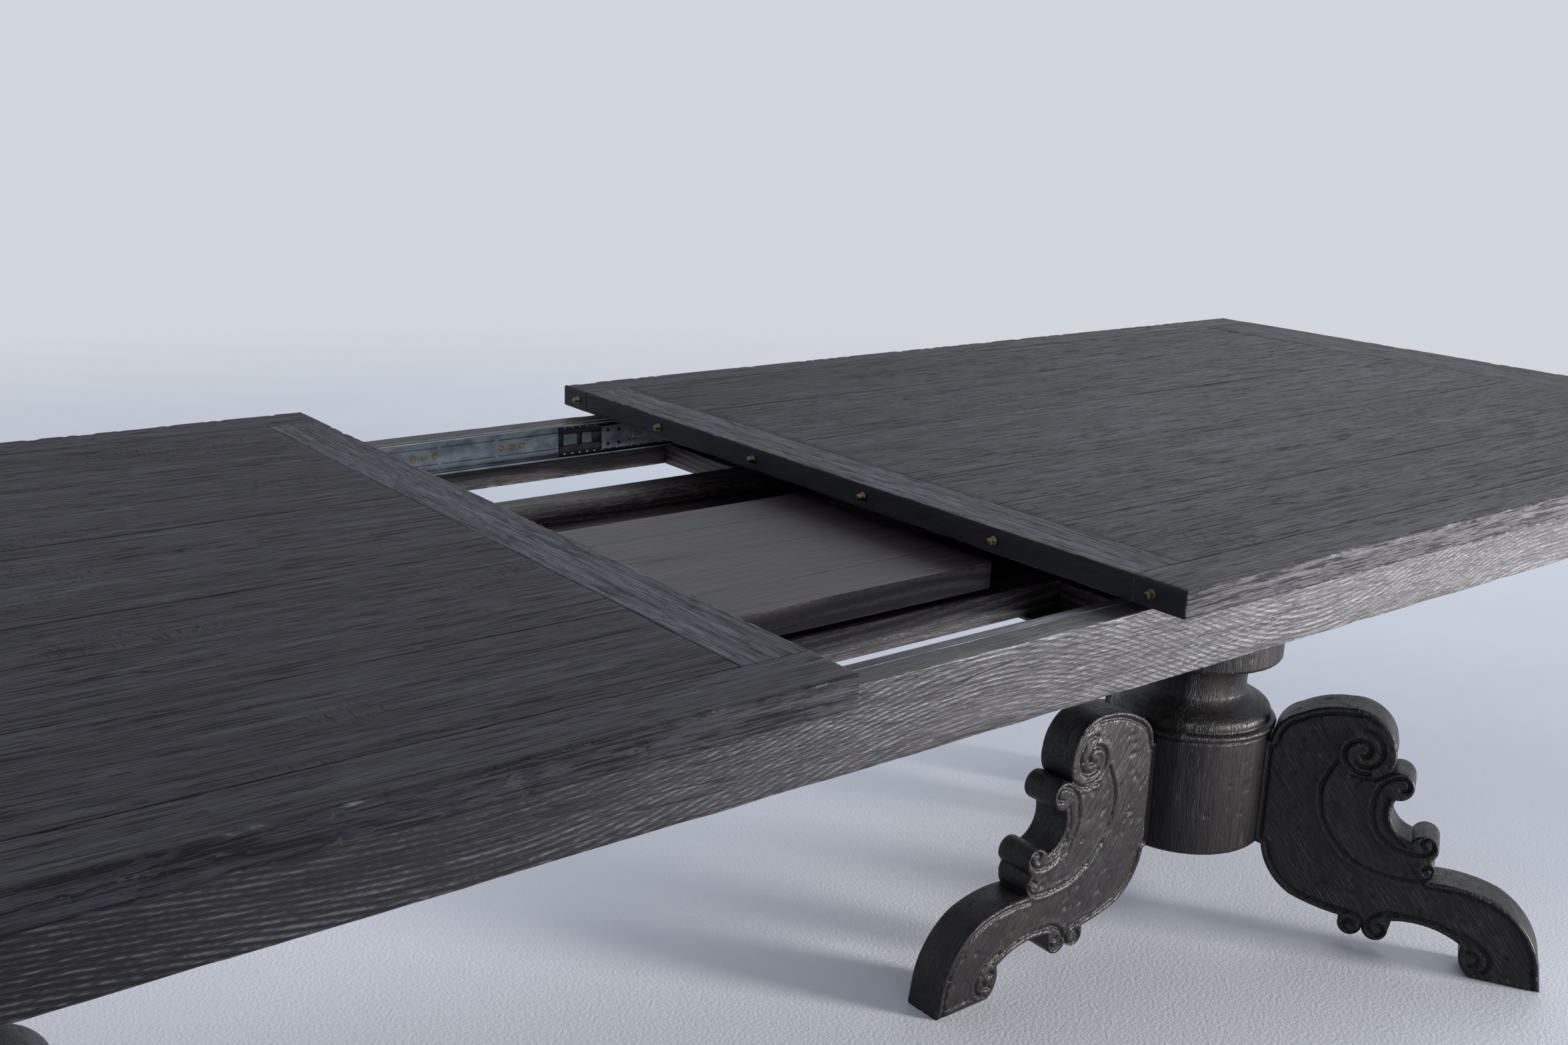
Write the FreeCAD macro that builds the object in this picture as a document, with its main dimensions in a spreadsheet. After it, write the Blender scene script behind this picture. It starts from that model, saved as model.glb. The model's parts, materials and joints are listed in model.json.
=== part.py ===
import FreeCAD
import Part
import math
import os
from types import SimpleNamespace

import Sketcher
from FreeCAD import Placement, Rotation, Vector

# Extending dining table on two turned pedestals with scroll legs.
# X runs along the table, Y across it and Z up. The origin is on the floor
# under the middle of the top. At rest the two halves stand open, with room
# for a leaf between them, and the spare leaf lies in the tray underneath.

os.makedirs("parts", exist_ok=True)
document = FreeCAD.newDocument("extending_table")

# Driving dimensions, in millimetres
driving_sizes = {
    # Top
    "table_height": 771,
    "top_thick": 28,
    "top_width": 1067,
    "half_length": 1414,
    "opening": 369,
    "edge_board": 60,
    "gap_board": 65,
    "end_board": 130,
    "batten_thick": 9,
    "batten_width": 90,
    "batten_setback": 300,
    "batten_spacing": 700,
    # Alignment pins in one gap end and their sockets in the other
    "pin_inset": 38.5,
    "pin_radius": 5,
    "pin_reach": 8,
    "pin_shank_radius": 4,
    "pin_depth": 22,
    "pin_drop": 14,
    "pin_taper": 2,
    "socket_clearance": 0.4,
    "socket_spare": 4,
    # Fixed frame
    "apron_inset": 49.5,
    "apron_thick": 28,
    "apron_height": 74,
    "top_clearance": 6,
    "end_inset": 50,
    "bearer_height": 32,
    "bearer_round": 16,
    "rail_width": 42,
    "tray_reach": 284,
    "stub_start": 299,
    "floor_thick": 5,
    "plate_thick": 4,
    "plate_lap": 49,
    "plate_inner": 24,
    "plate_outer": 66,
    # Spare leaf and the slats that it lies on
    "leaf_width": 315,
    "leaf_end": 200,
    "leaf_inset": 3,
    "leaf_rise": 6,
    "slat_width": 60,
    "slat_start": 165,
    "slat_spacing": 260,
    # Ball-bearing slides
    "channel_height": 45,
    "channel_depth": 12.7,
    "sheet_thick": 1.5,
    "lip_height": 5,
    "lip_clearance": 0.7,
    "channel_end_gap": 16,
    "member_height": 31,
    "member_flange": 8.7,
    "member_inset": 5.5,
    "member_short_of_runner": 119.5,
    "member_hole": 2.4,
    "cage_height": 37.5,
    "cage_thick": 1,
    "cage_arm": 7.7,
    "cage_clearance": 0.8,
    "cage_lead": 59,
    "cage_length": 430,
    "ball_radius": 2.45,
    "ball_pitch": 11.5,
    "window_height": 15,
    "window_long": 22,
    "window_short": 16,
    "window_bar": 6,
    "screw_head_radius": 4.2,
    "screw_head": 0.4,
    "screw_radius": 1.8,
    "screw_length": 16,
    "screw_pitch": 15,
    "screw_centre": 61,
    "screw_spacing": 420,
    "member_screw_head": 1.5,
    "member_screw_start": 160,
    "member_screw_end": 170,
    # Runners that join the halves to the slides
    "runner_width": 25,
    "runner_height": 46,
    "runner_setback": 130,
    "runner_end_gap": 36.5,
    # Pedestals
    "pedestal_spread": 920,
    "cleat_length": 300,
    "cleat_thick": 30,
    "bolt_head_radius": 8,
    "bolt_head": 5,
    "bolt_radius": 4,
    "bolt_grip": 20,
    "bolt_inset": 30,
    "drum_radius": 113,
    "drum_bottom": 139,
    "drum_top": 308,
    "cap_bottom": 416,
    # Scroll legs
    "leg_reach": 507,
    "leg_height": 367,
    "leg_thick": 59,
    "leg_reveal": 4,
    "foot_length": 92,
    # One overrun for all cuts
    "overrun": 2,
}

sheet = document.addObject("Spreadsheet::Sheet", "Sizes")
for row, (alias, number) in enumerate(driving_sizes.items(), start=1):
    sheet.set(f"A{row}", alias)
    sheet.set(f"B{row}", str(number))
    sheet.setAlias(f"B{row}", alias)
document.recompute()


class Length:
    """A length in millimetres that also knows its formula in the sheet's cells."""

    def __init__(self, value, formula):
        self.value = value
        self.formula = formula

    def __add__(self, other):
        return Length(self.value + other.value, f"({self.formula} + {other.formula})")

    def __sub__(self, other):
        return Length(self.value - other.value, f"({self.formula} - {other.formula})")

    def __mul__(self, factor):
        return Length(self.value * factor, f"({self.formula} * {factor})")

    def __truediv__(self, divisor):
        return Length(self.value / divisor, f"({self.formula} / {divisor})")

    def __neg__(self):
        return Length(-self.value, f"(-{self.formula})")


size = SimpleNamespace()
for alias in driving_sizes:
    setattr(size, alias, Length(float(sheet.get(alias)), "Sizes." + alias))
zero = Length(0.0, "0")

# Heights, reaches and ends that several pieces share
top_under = size.table_height - size.top_thick
half_width = size.top_width / 2
gap_end = size.opening / 2
half_end = gap_end + size.half_length
field_reach = half_width - size.edge_board
apron_top = top_under - size.top_clearance
apron_under = apron_top - size.apron_height
apron_face = half_width - size.apron_inset
apron_inner = apron_face - size.apron_thick
base_end = size.half_length - size.end_inset
base_inner_end = base_end - size.apron_thick
bearer_top = apron_under + size.bearer_height
tray_inner = size.tray_reach - size.rail_width
channel_under = apron_top - size.channel_height
channel_middle = apron_top - size.channel_height / 2
slide_face = apron_inner - size.channel_depth
runner_face = slide_face - size.runner_width
runner_start = gap_end + size.runner_setback
runner_end = base_inner_end - size.runner_end_gap
member_start = gap_end + size.member_inset
member_end = runner_end - size.member_short_of_runner
member_length = member_end - member_start
cage_start = member_start - size.cage_lead
pin_pitch = (size.top_width - size.pin_inset * 2) / 5
pin_middle = size.table_height - size.pin_drop
floor_top = apron_under + size.floor_thick
leaf_under = bearer_top + size.leaf_rise
cleat_under = apron_under - size.cleat_thick

halves = ((-1, "left"), (1, "right"))
sides = ((-1, "near"), (1, "far"))
subparts = {}


def mirrored(span, side):
    """A span (low, high) on the positive side, or its mirror image for side -1."""
    low, high = span
    return (low, high) if side > 0 else (-high, -low)


def bind_place(piece, x, y, z):
    """Bind a piece's place to three lengths."""
    for axis, length in (("x", x), ("y", y), ("z", z)):
        piece.setExpression("Placement.Base." + axis, length.formula)


def block(name, x, y, z):
    """A board: a box between two lengths along each axis."""
    board = document.addObject("Part::Box", name)
    for measure, (low, high) in (("Length", x), ("Width", y), ("Height", z)):
        board.setExpression(measure, (high - low).formula)
    bind_place(board, x[0], y[0], z[0])
    return board


def rod(name, radius, length, direction, place):
    """A round bar that starts at place (x, y, z) and runs along direction."""
    bar = document.addObject("Part::Cylinder", name)
    bar.setExpression("Radius", radius.formula)
    bar.setExpression("Height", length.formula)
    bar.Placement = Placement(Vector(0, 0, 0), Rotation(Vector(0, 0, 1), direction))
    bind_place(bar, *place)
    return bar


def joined(name, pieces):
    """One solid made of pieces that grow out of each other."""
    union = document.addObject("Part::MultiFuse", name)
    union.Shapes = pieces
    return union


def cut(name, base, tools):
    """The base with the tools taken out of it."""
    tool = tools[0]
    if len(tools) > 1:
        tool = document.addObject("Part::Compound", name + "_tools")
        tool.Links = tools
    result = document.addObject("Part::Cut", name)
    result.Base = base
    result.Tool = tool
    return result


def keep(piece, label):
    """Mark a piece as a sub-part: its label names its file."""
    piece.Label = label
    subparts[label] = piece
    return piece


def keep_group(label, pieces):
    """Keep several separate solids under one label."""
    bundle = document.addObject("Part::Compound", label + "_group")
    bundle.Links = pieces
    return keep(bundle, label)


def sketch_on(body, role, name):
    """A sketch attached to one of the body's own origin planes."""
    sketch = body.newObject("Sketcher::SketchObject", name)
    plane = next(feature for feature in body.Origin.OriginFeatures if feature.Role == role)
    sketch.AttachmentSupport = [(plane, "")]
    sketch.MapMode = "FlatFace"
    return sketch


def bind_point(sketch, edge, point, across, up):
    """Hold a point of a sketch edge at two lengths from the sketch's origin."""
    for kind, length in (("DistanceX", across), ("DistanceY", up)):
        index = sketch.addConstraint(Sketcher.Constraint(kind, -1, 1, edge, point, length.value))
        sketch.setExpression(f"Constraints[{index}]", length.formula)


def draw_polygon(sketch, corners):
    """A closed outline of straight lines whose corners are bound to the sheet."""
    points = [Vector(across.value, up.value, 0) for across, up in corners]
    first = sketch.GeometryCount
    for start, end in zip(points, points[1:] + points[:1]):
        sketch.addGeometry(Part.LineSegment(start, end))
    for number, (across, up) in enumerate(corners):
        following = (number + 1) % len(corners)
        sketch.addConstraint(Sketcher.Constraint("Coincident", first + number, 2, first + following, 1))
        bind_point(sketch, first + number, 1, across, up)


def draw_circle(sketch, across, up, radius):
    """A circle whose centre and radius are bound to the sheet."""
    centre = Vector(across.value, up.value, 0)
    edge = sketch.addGeometry(Part.Circle(centre, Vector(0, 0, 1), radius.value))
    bind_point(sketch, edge, 3, across, up)
    index = sketch.addConstraint(Sketcher.Constraint("Radius", edge, radius.value))
    sketch.setExpression(f"Constraints[{index}]", radius.formula)


def draw_outline(sketch, start, strokes):
    """A closed outline: a stroke is (end,) for a line or (middle, end) for an arc."""
    here = Vector(*start, 0)
    for stroke in strokes:
        points = [Vector(*point, 0) for point in stroke]
        if len(points) == 1:
            sketch.addGeometry(Part.LineSegment(here, points[0]))
        else:
            sketch.addGeometry(Part.Arc(here, *points))
        here = points[-1]


def pad(body, sketch, length, midplane=False):
    """A pad of the sketch along its normal."""
    feature = body.newObject("PartDesign::Pad", sketch.Name + "_pad")
    feature.Profile = sketch
    feature.setExpression("Length", length.formula)
    feature.Midplane = midplane


def pocket(body, sketch, depth):
    """A pocket to half of depth on each side of the sketch, checked to cut something."""
    document.recompute()
    before = body.Shape.Volume
    feature = body.newObject("PartDesign::Pocket", sketch.Name + "_pocket")
    feature.Profile = sketch
    feature.setExpression("Length", depth.formula)
    feature.Midplane = True
    document.recompute()
    if body.Shape.Volume >= before:
        raise RuntimeError(sketch.Name + " cuts nothing")


def make_frame():
    """Aprons, end rails, bearers and the stub rails between bearers and aprons."""
    for side, word in sides:
        apron_y = mirrored((apron_inner, apron_face), side)
        keep(block(word + "_apron_box", (-base_end, base_end), apron_y, (apron_under, apron_top)),
             word + "_apron")
        make_bearer(word + "_bearer", side)
    for half, word in halves:
        keep(block(word + "_end_rail_box", mirrored((base_inner_end, base_end), half),
                   (-apron_inner, apron_inner), (apron_under, apron_top)), word + "_end_rail")
    cleat_reach = size.cleat_length / 2
    stub_starts = {
        "middle": (size.stub_start,),
        "pedestal": (
            size.pedestal_spread - cleat_reach,
            size.pedestal_spread + cleat_reach - size.rail_width,
        ),
    }
    for side, word in sides:
        stub_y = mirrored((size.tray_reach, apron_inner), side)
        for place, starts in stub_starts.items():
            rails = []
            for half, _ in halves:
                for start in starts:
                    stub_x = mirrored((start, start + size.rail_width), half)
                    rails.append(block("stub_rail", stub_x, stub_y, (apron_under, channel_under)))
            keep_group(f"{word}_{place}_stub_rails", rails)


def make_bearer(label, side):
    """A rail beside the tray, its upper edge rounded on the tray's side."""
    inner, outer = tray_inner.value * side, size.tray_reach.value * side
    top, radius = size.bearer_height.value, size.bearer_round.value
    middle = radius * (1 - math.sqrt(0.5))
    body = document.addObject("PartDesign::Body", label + "_body")
    section = sketch_on(body, "YZ_Plane", label + "_section")
    draw_outline(section, (outer, 0), [
        [(outer, top)],
        [(inner + radius * side, top)],
        [(inner + middle * side, top - middle), (inner, top - radius)],
        [(inner, 0)],
        [(outer, 0)],
    ])
    pad(body, section, base_inner_end * 2, midplane=True)
    bind_place(body, zero, zero, apron_under)
    keep(body, label)


def make_tray():
    """Tray floor, plates under the rail joints, slats and the spare leaf on them."""
    keep(block("tray_floor_box", (-base_inner_end, base_inner_end), (-tray_inner, tray_inner),
               (apron_under, floor_top)), "tray_floor")
    plates = []
    for half, _ in halves:
        for side, _ in sides:
            plate_x = (size.stub_start - size.plate_lap, size.stub_start + size.rail_width)
            plate_y = (size.tray_reach - size.plate_inner, size.tray_reach + size.plate_outer)
            plates.append(block("joint_plate", mirrored(plate_x, half), mirrored(plate_y, side),
                                (apron_under - size.plate_thick, apron_under)))
    keep_group("joint_plates", plates)
    slats = []
    for number in range(3):
        start = size.slat_start + size.slat_spacing * number
        slats.append(block("tray_slat", mirrored((start, start + size.slat_width), -1),
                           (-tray_inner, tray_inner), (floor_top, leaf_under)))
    keep_group("tray_slats", slats)

    # The leaf is as long as the top is wide, and lies along the tray
    leaf_x = (size.leaf_end - size.top_width, size.leaf_end)
    leaf_z = (leaf_under, leaf_under + size.top_thick)
    near_side = size.leaf_inset - size.tray_reach
    far_side = near_side + size.leaf_width
    near_seam = near_side + size.gap_board
    far_seam = far_side - size.gap_board
    keep(block("leaf_near_box", leaf_x, (near_side, near_seam), leaf_z), "leaf_near_board")
    keep(block("leaf_field_box", leaf_x, (near_seam, far_seam), leaf_z), "leaf_field")
    keep(block("leaf_far_box", leaf_x, (far_seam, far_side), leaf_z), "leaf_far_board")


def folded_corners(web, flange_tip, reach, thick, lip=None):
    """Corners of a folded strip, as (depth, height): web, flanges and any turned-in lips."""
    inward = thick if flange_tip.value > web.value else -thick
    upper = [(web, reach), (flange_tip, reach)]
    if lip is None:
        upper.append((flange_tip, reach - thick))
    else:
        upper.append((flange_tip, reach - lip))
        upper.append((flange_tip - inward, reach - lip))
        upper.append((flange_tip - inward, reach - thick))
    upper.append((web + inward, reach - thick))
    lower = [(depth, -height) for depth, height in reversed(upper)]
    return upper + lower


def folded_strip(name, side, corners, length):
    """A folded strip along X, its depth measured inwards from the apron's inner face."""
    body = document.addObject("PartDesign::Body", name)
    section = sketch_on(body, "YZ_Plane", name + "_section")
    draw_polygon(section, [(depth * -side, height) for depth, height in corners])
    pad(body, section, length)
    return body


def screw(name, x, seat, way, head_thick):
    """A screw whose shank runs way (-1 or 1) along Y from the seat under its head."""
    shank_way = Vector(0, way, 0)
    head = rod(name + "_head", size.screw_head_radius, head_thick, -shank_way, (x, seat, channel_middle))
    shank = rod(name + "_shank", size.screw_radius, size.screw_length, shank_way, (x, seat, channel_middle))
    return joined(name, [head, shank])


def make_channels():
    """The fixed channel of each slide, screwed to the apron in groups of three."""
    reach = size.channel_height / 2
    half_channel = base_inner_end - size.channel_end_gap
    screw_places = []
    for half, _ in halves:
        for group in range(3):
            for offset in (-1, 0, 1):
                place = size.screw_centre + size.screw_spacing * group + size.screw_pitch * offset
                screw_places.append(place * half)
    screws = []
    for side, word in sides:
        corners = folded_corners(zero, size.channel_depth - size.lip_clearance, reach,
                                 size.sheet_thick, size.lip_height)
        body = folded_strip(word + "_channel_body", side, corners, half_channel * 2)
        holes = sketch_on(body, "XZ_Plane", word + "_channel_holes")
        for place in screw_places:
            draw_circle(holes, place + half_channel, zero, size.screw_radius)
        pocket(body, holes, (size.sheet_thick + size.overrun) * 2)
        bind_place(body, -half_channel, apron_inner * side, channel_middle)
        keep(body, word + "_channel")
        seat = (apron_inner - size.sheet_thick) * side
        for place in screw_places:
            screws.append(screw("channel_screw", place, seat, side, size.screw_head))
    keep_group("channel_screws", screws)


def make_members():
    """The sliding member of each slide, screwed to the runner of its half of the top."""
    reach = size.member_height / 2
    hole_rise = reach - size.sheet_thick - size.member_hole * 2
    first_hole = size.member_hole * 4
    second_hole = first_hole + size.member_hole * 7
    screw_spacing = (member_length - size.member_screw_start - size.member_screw_end) / 2
    for half, half_word in halves:
        screws = []
        for side, side_word in sides:
            name = f"{half_word}_{side_word}_member"
            corners = folded_corners(size.channel_depth, size.channel_depth - size.member_flange,
                                     reach, size.sheet_thick)
            body = folded_strip(name + "_body", side, corners, member_length)
            start, _ = mirrored((member_start, member_end), half)
            seat = (slide_face + size.sheet_thick) * side
            holes = sketch_on(body, "XZ_Plane", name + "_holes")
            for along in (first_hole, second_hole):
                across = along if half > 0 else member_length - along
                for up in (hole_rise, -hole_rise):
                    draw_circle(holes, across, up, size.member_hole)
            for number in range(3):
                along = size.member_screw_start + screw_spacing * number
                across = along if half > 0 else member_length - along
                draw_circle(holes, across, zero, size.screw_radius)
                screws.append(screw("member_screw", start + across, seat, -side, size.member_screw_head))
            pocket(body, holes, (size.channel_depth + size.overrun) * 2)
            bind_place(body, start, apron_inner * side, channel_middle)
            keep(body, name)
        keep_group(half_word + "_member_screws", screws)


def make_cages():
    """The ball cage of each slide: a thin folded strip with two windows and its balls."""
    reach = size.cage_height / 2
    web = size.sheet_thick + size.cage_clearance
    row_height = reach - size.cage_thick / 2
    row_depth = web + size.cage_arm / 2
    window_rise = size.window_height / 2
    for half, half_word in halves:
        start, _ = mirrored((cage_start, cage_start + size.cage_length), half)
        for side, side_word in sides:
            name = f"{half_word}_{side_word}_cage"
            corners = folded_corners(web, web + size.cage_arm, reach, size.cage_thick)
            body = folded_strip(name + "_body", side, corners, size.cage_length)
            windows = sketch_on(body, "XZ_Plane", name + "_windows")
            near_end = size.window_bar
            for width in (size.window_long, size.window_short):
                low, high = near_end, near_end + width
                if half < 0:
                    low, high = size.cage_length - high, size.cage_length - low
                draw_polygon(windows, [(low, -window_rise), (high, -window_rise),
                                       (high, window_rise), (low, window_rise)])
                near_end = near_end + width + size.window_bar
            pocket(body, windows, (web + size.cage_thick + size.overrun) * 2)
            bind_place(body, start, apron_inner * side, channel_middle)
            balls = []
            for number in range(5):
                along = cage_start + size.ball_pitch * (number + 0.5)
                for row in (1, -1):
                    ball = document.addObject("Part::Sphere", "ball")
                    ball.setExpression("Radius", size.ball_radius.formula)
                    bind_place(ball, along * half, (apron_inner - row_depth) * side,
                               channel_middle + row_height * row)
                    balls.append(ball)
            keep(joined(name + "_and_balls", [body] + balls), name)


def make_pin(across):
    """A pin whose shank is pressed into the gap end and whose wider, tapered head stands out."""
    x = gap_end - size.pin_reach
    head_length = size.pin_reach - size.pin_taper
    shank = rod("pin_shank", size.pin_shank_radius, size.pin_depth, Vector(1, 0, 0),
                (gap_end, across, pin_middle))
    head = rod("pin_head", size.pin_radius, head_length, Vector(1, 0, 0),
               (x + size.pin_taper, across, pin_middle))
    tip = document.addObject("Part::Cone", "pin_tip")
    tip.setExpression("Radius1", (size.pin_radius - size.pin_taper / 2).formula)
    tip.setExpression("Radius2", size.pin_radius.formula)
    tip.setExpression("Height", size.pin_taper.formula)
    tip.Placement = Placement(Vector(0, 0, 0), Rotation(Vector(0, 0, 1), Vector(1, 0, 0)))
    bind_place(tip, x, across, pin_middle)
    return joined("pin", [shank, head, tip])


def pin_holes(half):
    """Tools for the row of six pin holes or sockets in a half's gap end."""
    holes = []
    for number in range(6):
        across = pin_pitch * (number - 2.5)
        if half > 0:
            holes.append(rod("pin_hole", size.pin_shank_radius, size.pin_depth + size.overrun,
                             Vector(1, 0, 0), (gap_end - size.overrun, across, pin_middle)))
        else:
            depth = size.pin_reach + size.socket_spare
            holes.append(rod("socket", size.pin_radius + size.socket_clearance,
                             depth + size.overrun, Vector(1, 0, 0), (-gap_end - depth, across, pin_middle)))
    return holes


def make_halves():
    """The boards, battens and runners of the two halves, with pins in the right one."""
    board_z = (top_under, size.table_height)
    plank_seam_shares = (-0.5, -0.336, -0.118, 0.106, 0.317, 0.5)
    for half, word in halves:
        holes = pin_holes(half)
        whole_x = mirrored((gap_end, half_end), half)
        for (side, side_word), outer_hole in zip(sides, (holes[0], holes[-1])):
            name = f"{word}_{side_word}_edge"
            board = block(name + "_box", whole_x, mirrored((field_reach, half_width), side), board_z)
            keep(cut(name, board, [outer_hole]), name + "_board")
        board = block(word + "_gap_box", mirrored((gap_end, gap_end + size.gap_board), half),
                      (-field_reach, field_reach), board_z)
        keep(cut(word + "_gap", board, holes[1:-1]), word + "_gap_board")
        keep(block(word + "_end_box", mirrored((half_end - size.end_board, half_end), half),
                   (-field_reach, field_reach), board_z), word + "_end_board")
        plank_x = mirrored((gap_end + size.gap_board, half_end - size.end_board), half)
        planks = []
        for low_share, high_share in zip(plank_seam_shares, plank_seam_shares[1:]):
            plank_y = (field_reach * 2 * low_share, field_reach * 2 * high_share)
            planks.append(block("field_plank", plank_x, plank_y, board_z))
        keep_group(word + "_field_planks", planks)

        battens = []
        for number in range(2):
            start = gap_end + size.batten_setback + size.batten_spacing * number
            battens.append(block("batten", mirrored((start, start + size.batten_width), half),
                                 (-runner_face, runner_face), (top_under - size.batten_thick, top_under)))
        keep_group(word + "_battens", battens)
        runner_x = mirrored((runner_start, runner_end), half)
        for side, side_word in sides:
            keep(block("runner_box", runner_x, mirrored((runner_face, slide_face), side),
                       (top_under - size.runner_height, top_under)), f"{word}_{side_word}_runner")

    keep_group("alignment_pins", [make_pin(pin_pitch * (number - 2.5)) for number in range(6)])


def make_column(label, half):
    """The turned column: leg drum, two beads, flared shoulder, neck, cove and cap."""
    radius = size.drum_radius.value
    bottom, top = size.drum_bottom.value, cleat_under.value
    neck_rise = size.cap_bottom - size.drum_top
    # Radius as a share of the drum's, height as a share of the neck's rise
    profile_shares = (
        ((1, 0),),
        ((0.985, 0.004),),
        ((0.985, 0.018),),
        ((1.04, 0.07), (0.985, 0.125)),
        ((0.965, 0.14),),
        ((0.955, 0.24), (0.85, 0.325)),
        ((0.82, 0.34),),
        ((0.7, 0.395), (0.64, 0.475)),
        ((0.632, 0.61), (0.645, 0.74)),
        ((0.72, 0.88), (0.9, 0.955)),
        ((0.975, 0.962),),
        ((1.018, 0.98), (1.031, 1.03)),
    )
    strokes = [[(radius, bottom)]]
    for stroke in profile_shares:
        strokes.append([(radius * across, size.drum_top.value + neck_rise.value * up)
                        for across, up in stroke])
    strokes += [[(strokes[-1][-1][0], top)], [(0, top)], [(0, bottom)]]
    body = document.addObject("PartDesign::Body", label + "_body")
    profile = sketch_on(body, "XZ_Plane", label + "_profile")
    draw_outline(profile, (0, bottom), strokes)
    turned = body.newObject("PartDesign::Revolution", label + "_turned")
    turned.Profile = profile
    turned.ReferenceAxis = (profile, ["V_Axis"])
    turned.Angle = 360
    bind_place(body, size.pedestal_spread * half, zero, zero)
    keep(body, label)


def make_leg(label, half, angle):
    """A sawn scroll leg, fitted against the round of the column's lower drum."""
    span = size.leg_reach - size.drum_radius
    # Reach as a share of the way from drum to toe, height as a share of the leg's
    upper_shares = (
        ((0.008, 0.82),),
        ((0.036, 0.902), (0.094, 0.948)),
        ((0.172, 0.986), (0.259, 1)),
        ((0.378, 0.965), (0.43, 0.861)),
        ((0.433, 0.809), (0.416, 0.76)),
        ((0.505, 0.73), (0.449, 0.662)),
        ((0.444, 0.583), (0.518, 0.507)),
        ((0.602, 0.518), (0.594, 0.444)),
        ((0.607, 0.401), (0.594, 0.357)),
        ((0.716, 0.355), (0.822, 0.327)),
        ((0.937, 0.221), (0.987, 0.087)),
        ((1, 0),),
    )
    lower_shares = (
        ((0.726, 0.065), (0.728, 0.123)),
        ((0.622, 0.169), (0.49, 0.166)),
        ((0.482, 0.12),),
        ((0.439, 0.071), (0.393, 0.125)),
        ((0.35, 0.074), (0.31, 0.131)),
        ((0.31, 0.147),),
        ((0.211, 0.166), (0.132, 0.193)),
        ((0.058, 0.264), (0.013, 0.381)),
    )

    def at(share):
        return (size.drum_radius.value + span.value * share[0], size.leg_height.value * share[1])

    # The root starts inside the drum, whose round is then cut away
    root = math.sqrt(size.drum_radius.value ** 2 - (size.leg_thick.value / 2) ** 2) - size.overrun.value
    root_low = size.drum_bottom.value + size.leg_reveal.value
    root_high = at(upper_shares[0][0])[1]
    strokes = [[(root, root_high)]]
    strokes += [[at(share) for share in stroke] for stroke in upper_shares]
    strokes += [[(size.leg_reach.value - size.foot_length.value, 0)]]
    strokes += [[at(share) for share in stroke] for stroke in lower_shares]
    strokes += [[(root, root_low)]]
    body = document.addObject("PartDesign::Body", label + "_body")
    outline = sketch_on(body, "XZ_Plane", label + "_outline")
    draw_outline(outline, (root, root_low), strokes)
    pad(body, outline, size.leg_thick, midplane=True)
    housing = sketch_on(body, "XY_Plane", label + "_housing")
    draw_circle(housing, zero, zero, size.drum_radius)
    pocket(body, housing, (size.leg_height + size.overrun) * 2)
    body.Placement = Placement(Vector(0, 0, 0), Rotation(Vector(0, 0, 1), angle))
    bind_place(body, size.pedestal_spread * half, zero, zero)
    keep(body, label)


def make_pedestals():
    """A cleat bolted under the bearers, a turned column and three legs at each end."""
    cleat_reach = size.cleat_length / 2
    for half, word in halves:
        cleat_x = mirrored((size.pedestal_spread - cleat_reach, size.pedestal_spread + cleat_reach), half)
        keep(block(word + "_cleat_box", cleat_x, (-size.tray_reach, size.tray_reach),
                   (cleat_under, apron_under)), word + "_cleat")
        bolts = []
        for side, _ in sides:
            for end in (-1, 1):
                x = size.pedestal_spread * half + (cleat_reach - size.bolt_inset) * end
                y = (size.tray_reach - size.rail_width / 2) * side
                head = rod("bolt_head", size.bolt_head_radius, size.bolt_head, Vector(0, 0, -1),
                           (x, y, cleat_under))
                shank = rod("bolt_shank", size.bolt_radius, size.cleat_thick + size.bolt_grip,
                            Vector(0, 0, 1), (x, y, cleat_under))
                bolts.append(joined("cleat_bolt", [head, shank]))
        keep_group(word + "_cleat_bolts", bolts)
        make_column(word + "_column", half)
        inner_angle = 180 if half > 0 else 0
        for place, turn in (("inner", 0), ("near", 120), ("far", -120)):
            make_leg(f"{word}_{place}_leg", half, inner_angle + turn * half)


make_frame()
make_tray()
make_channels()
make_members()
make_cages()
make_halves()
make_pedestals()
document.recompute()

for item in document.Objects:
    if {"Invalid", "Error"} & set(item.State):
        raise RuntimeError(f"{item.Label} failed: {item.State}")
for label, piece in subparts.items():
    if piece.Shape.isNull() or not piece.Shape.isValid():
        raise RuntimeError(label + " has no valid shape")
for label, piece in subparts.items():
    piece.Shape.exportStep(f"parts/{label}.step")
print(len(subparts), "sub-parts written")
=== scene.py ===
import json
import math

import bmesh
import bpy
import numpy as np
from mathutils import Matrix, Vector
from mathutils.geometry import delaunay_2d_cdt


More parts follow.
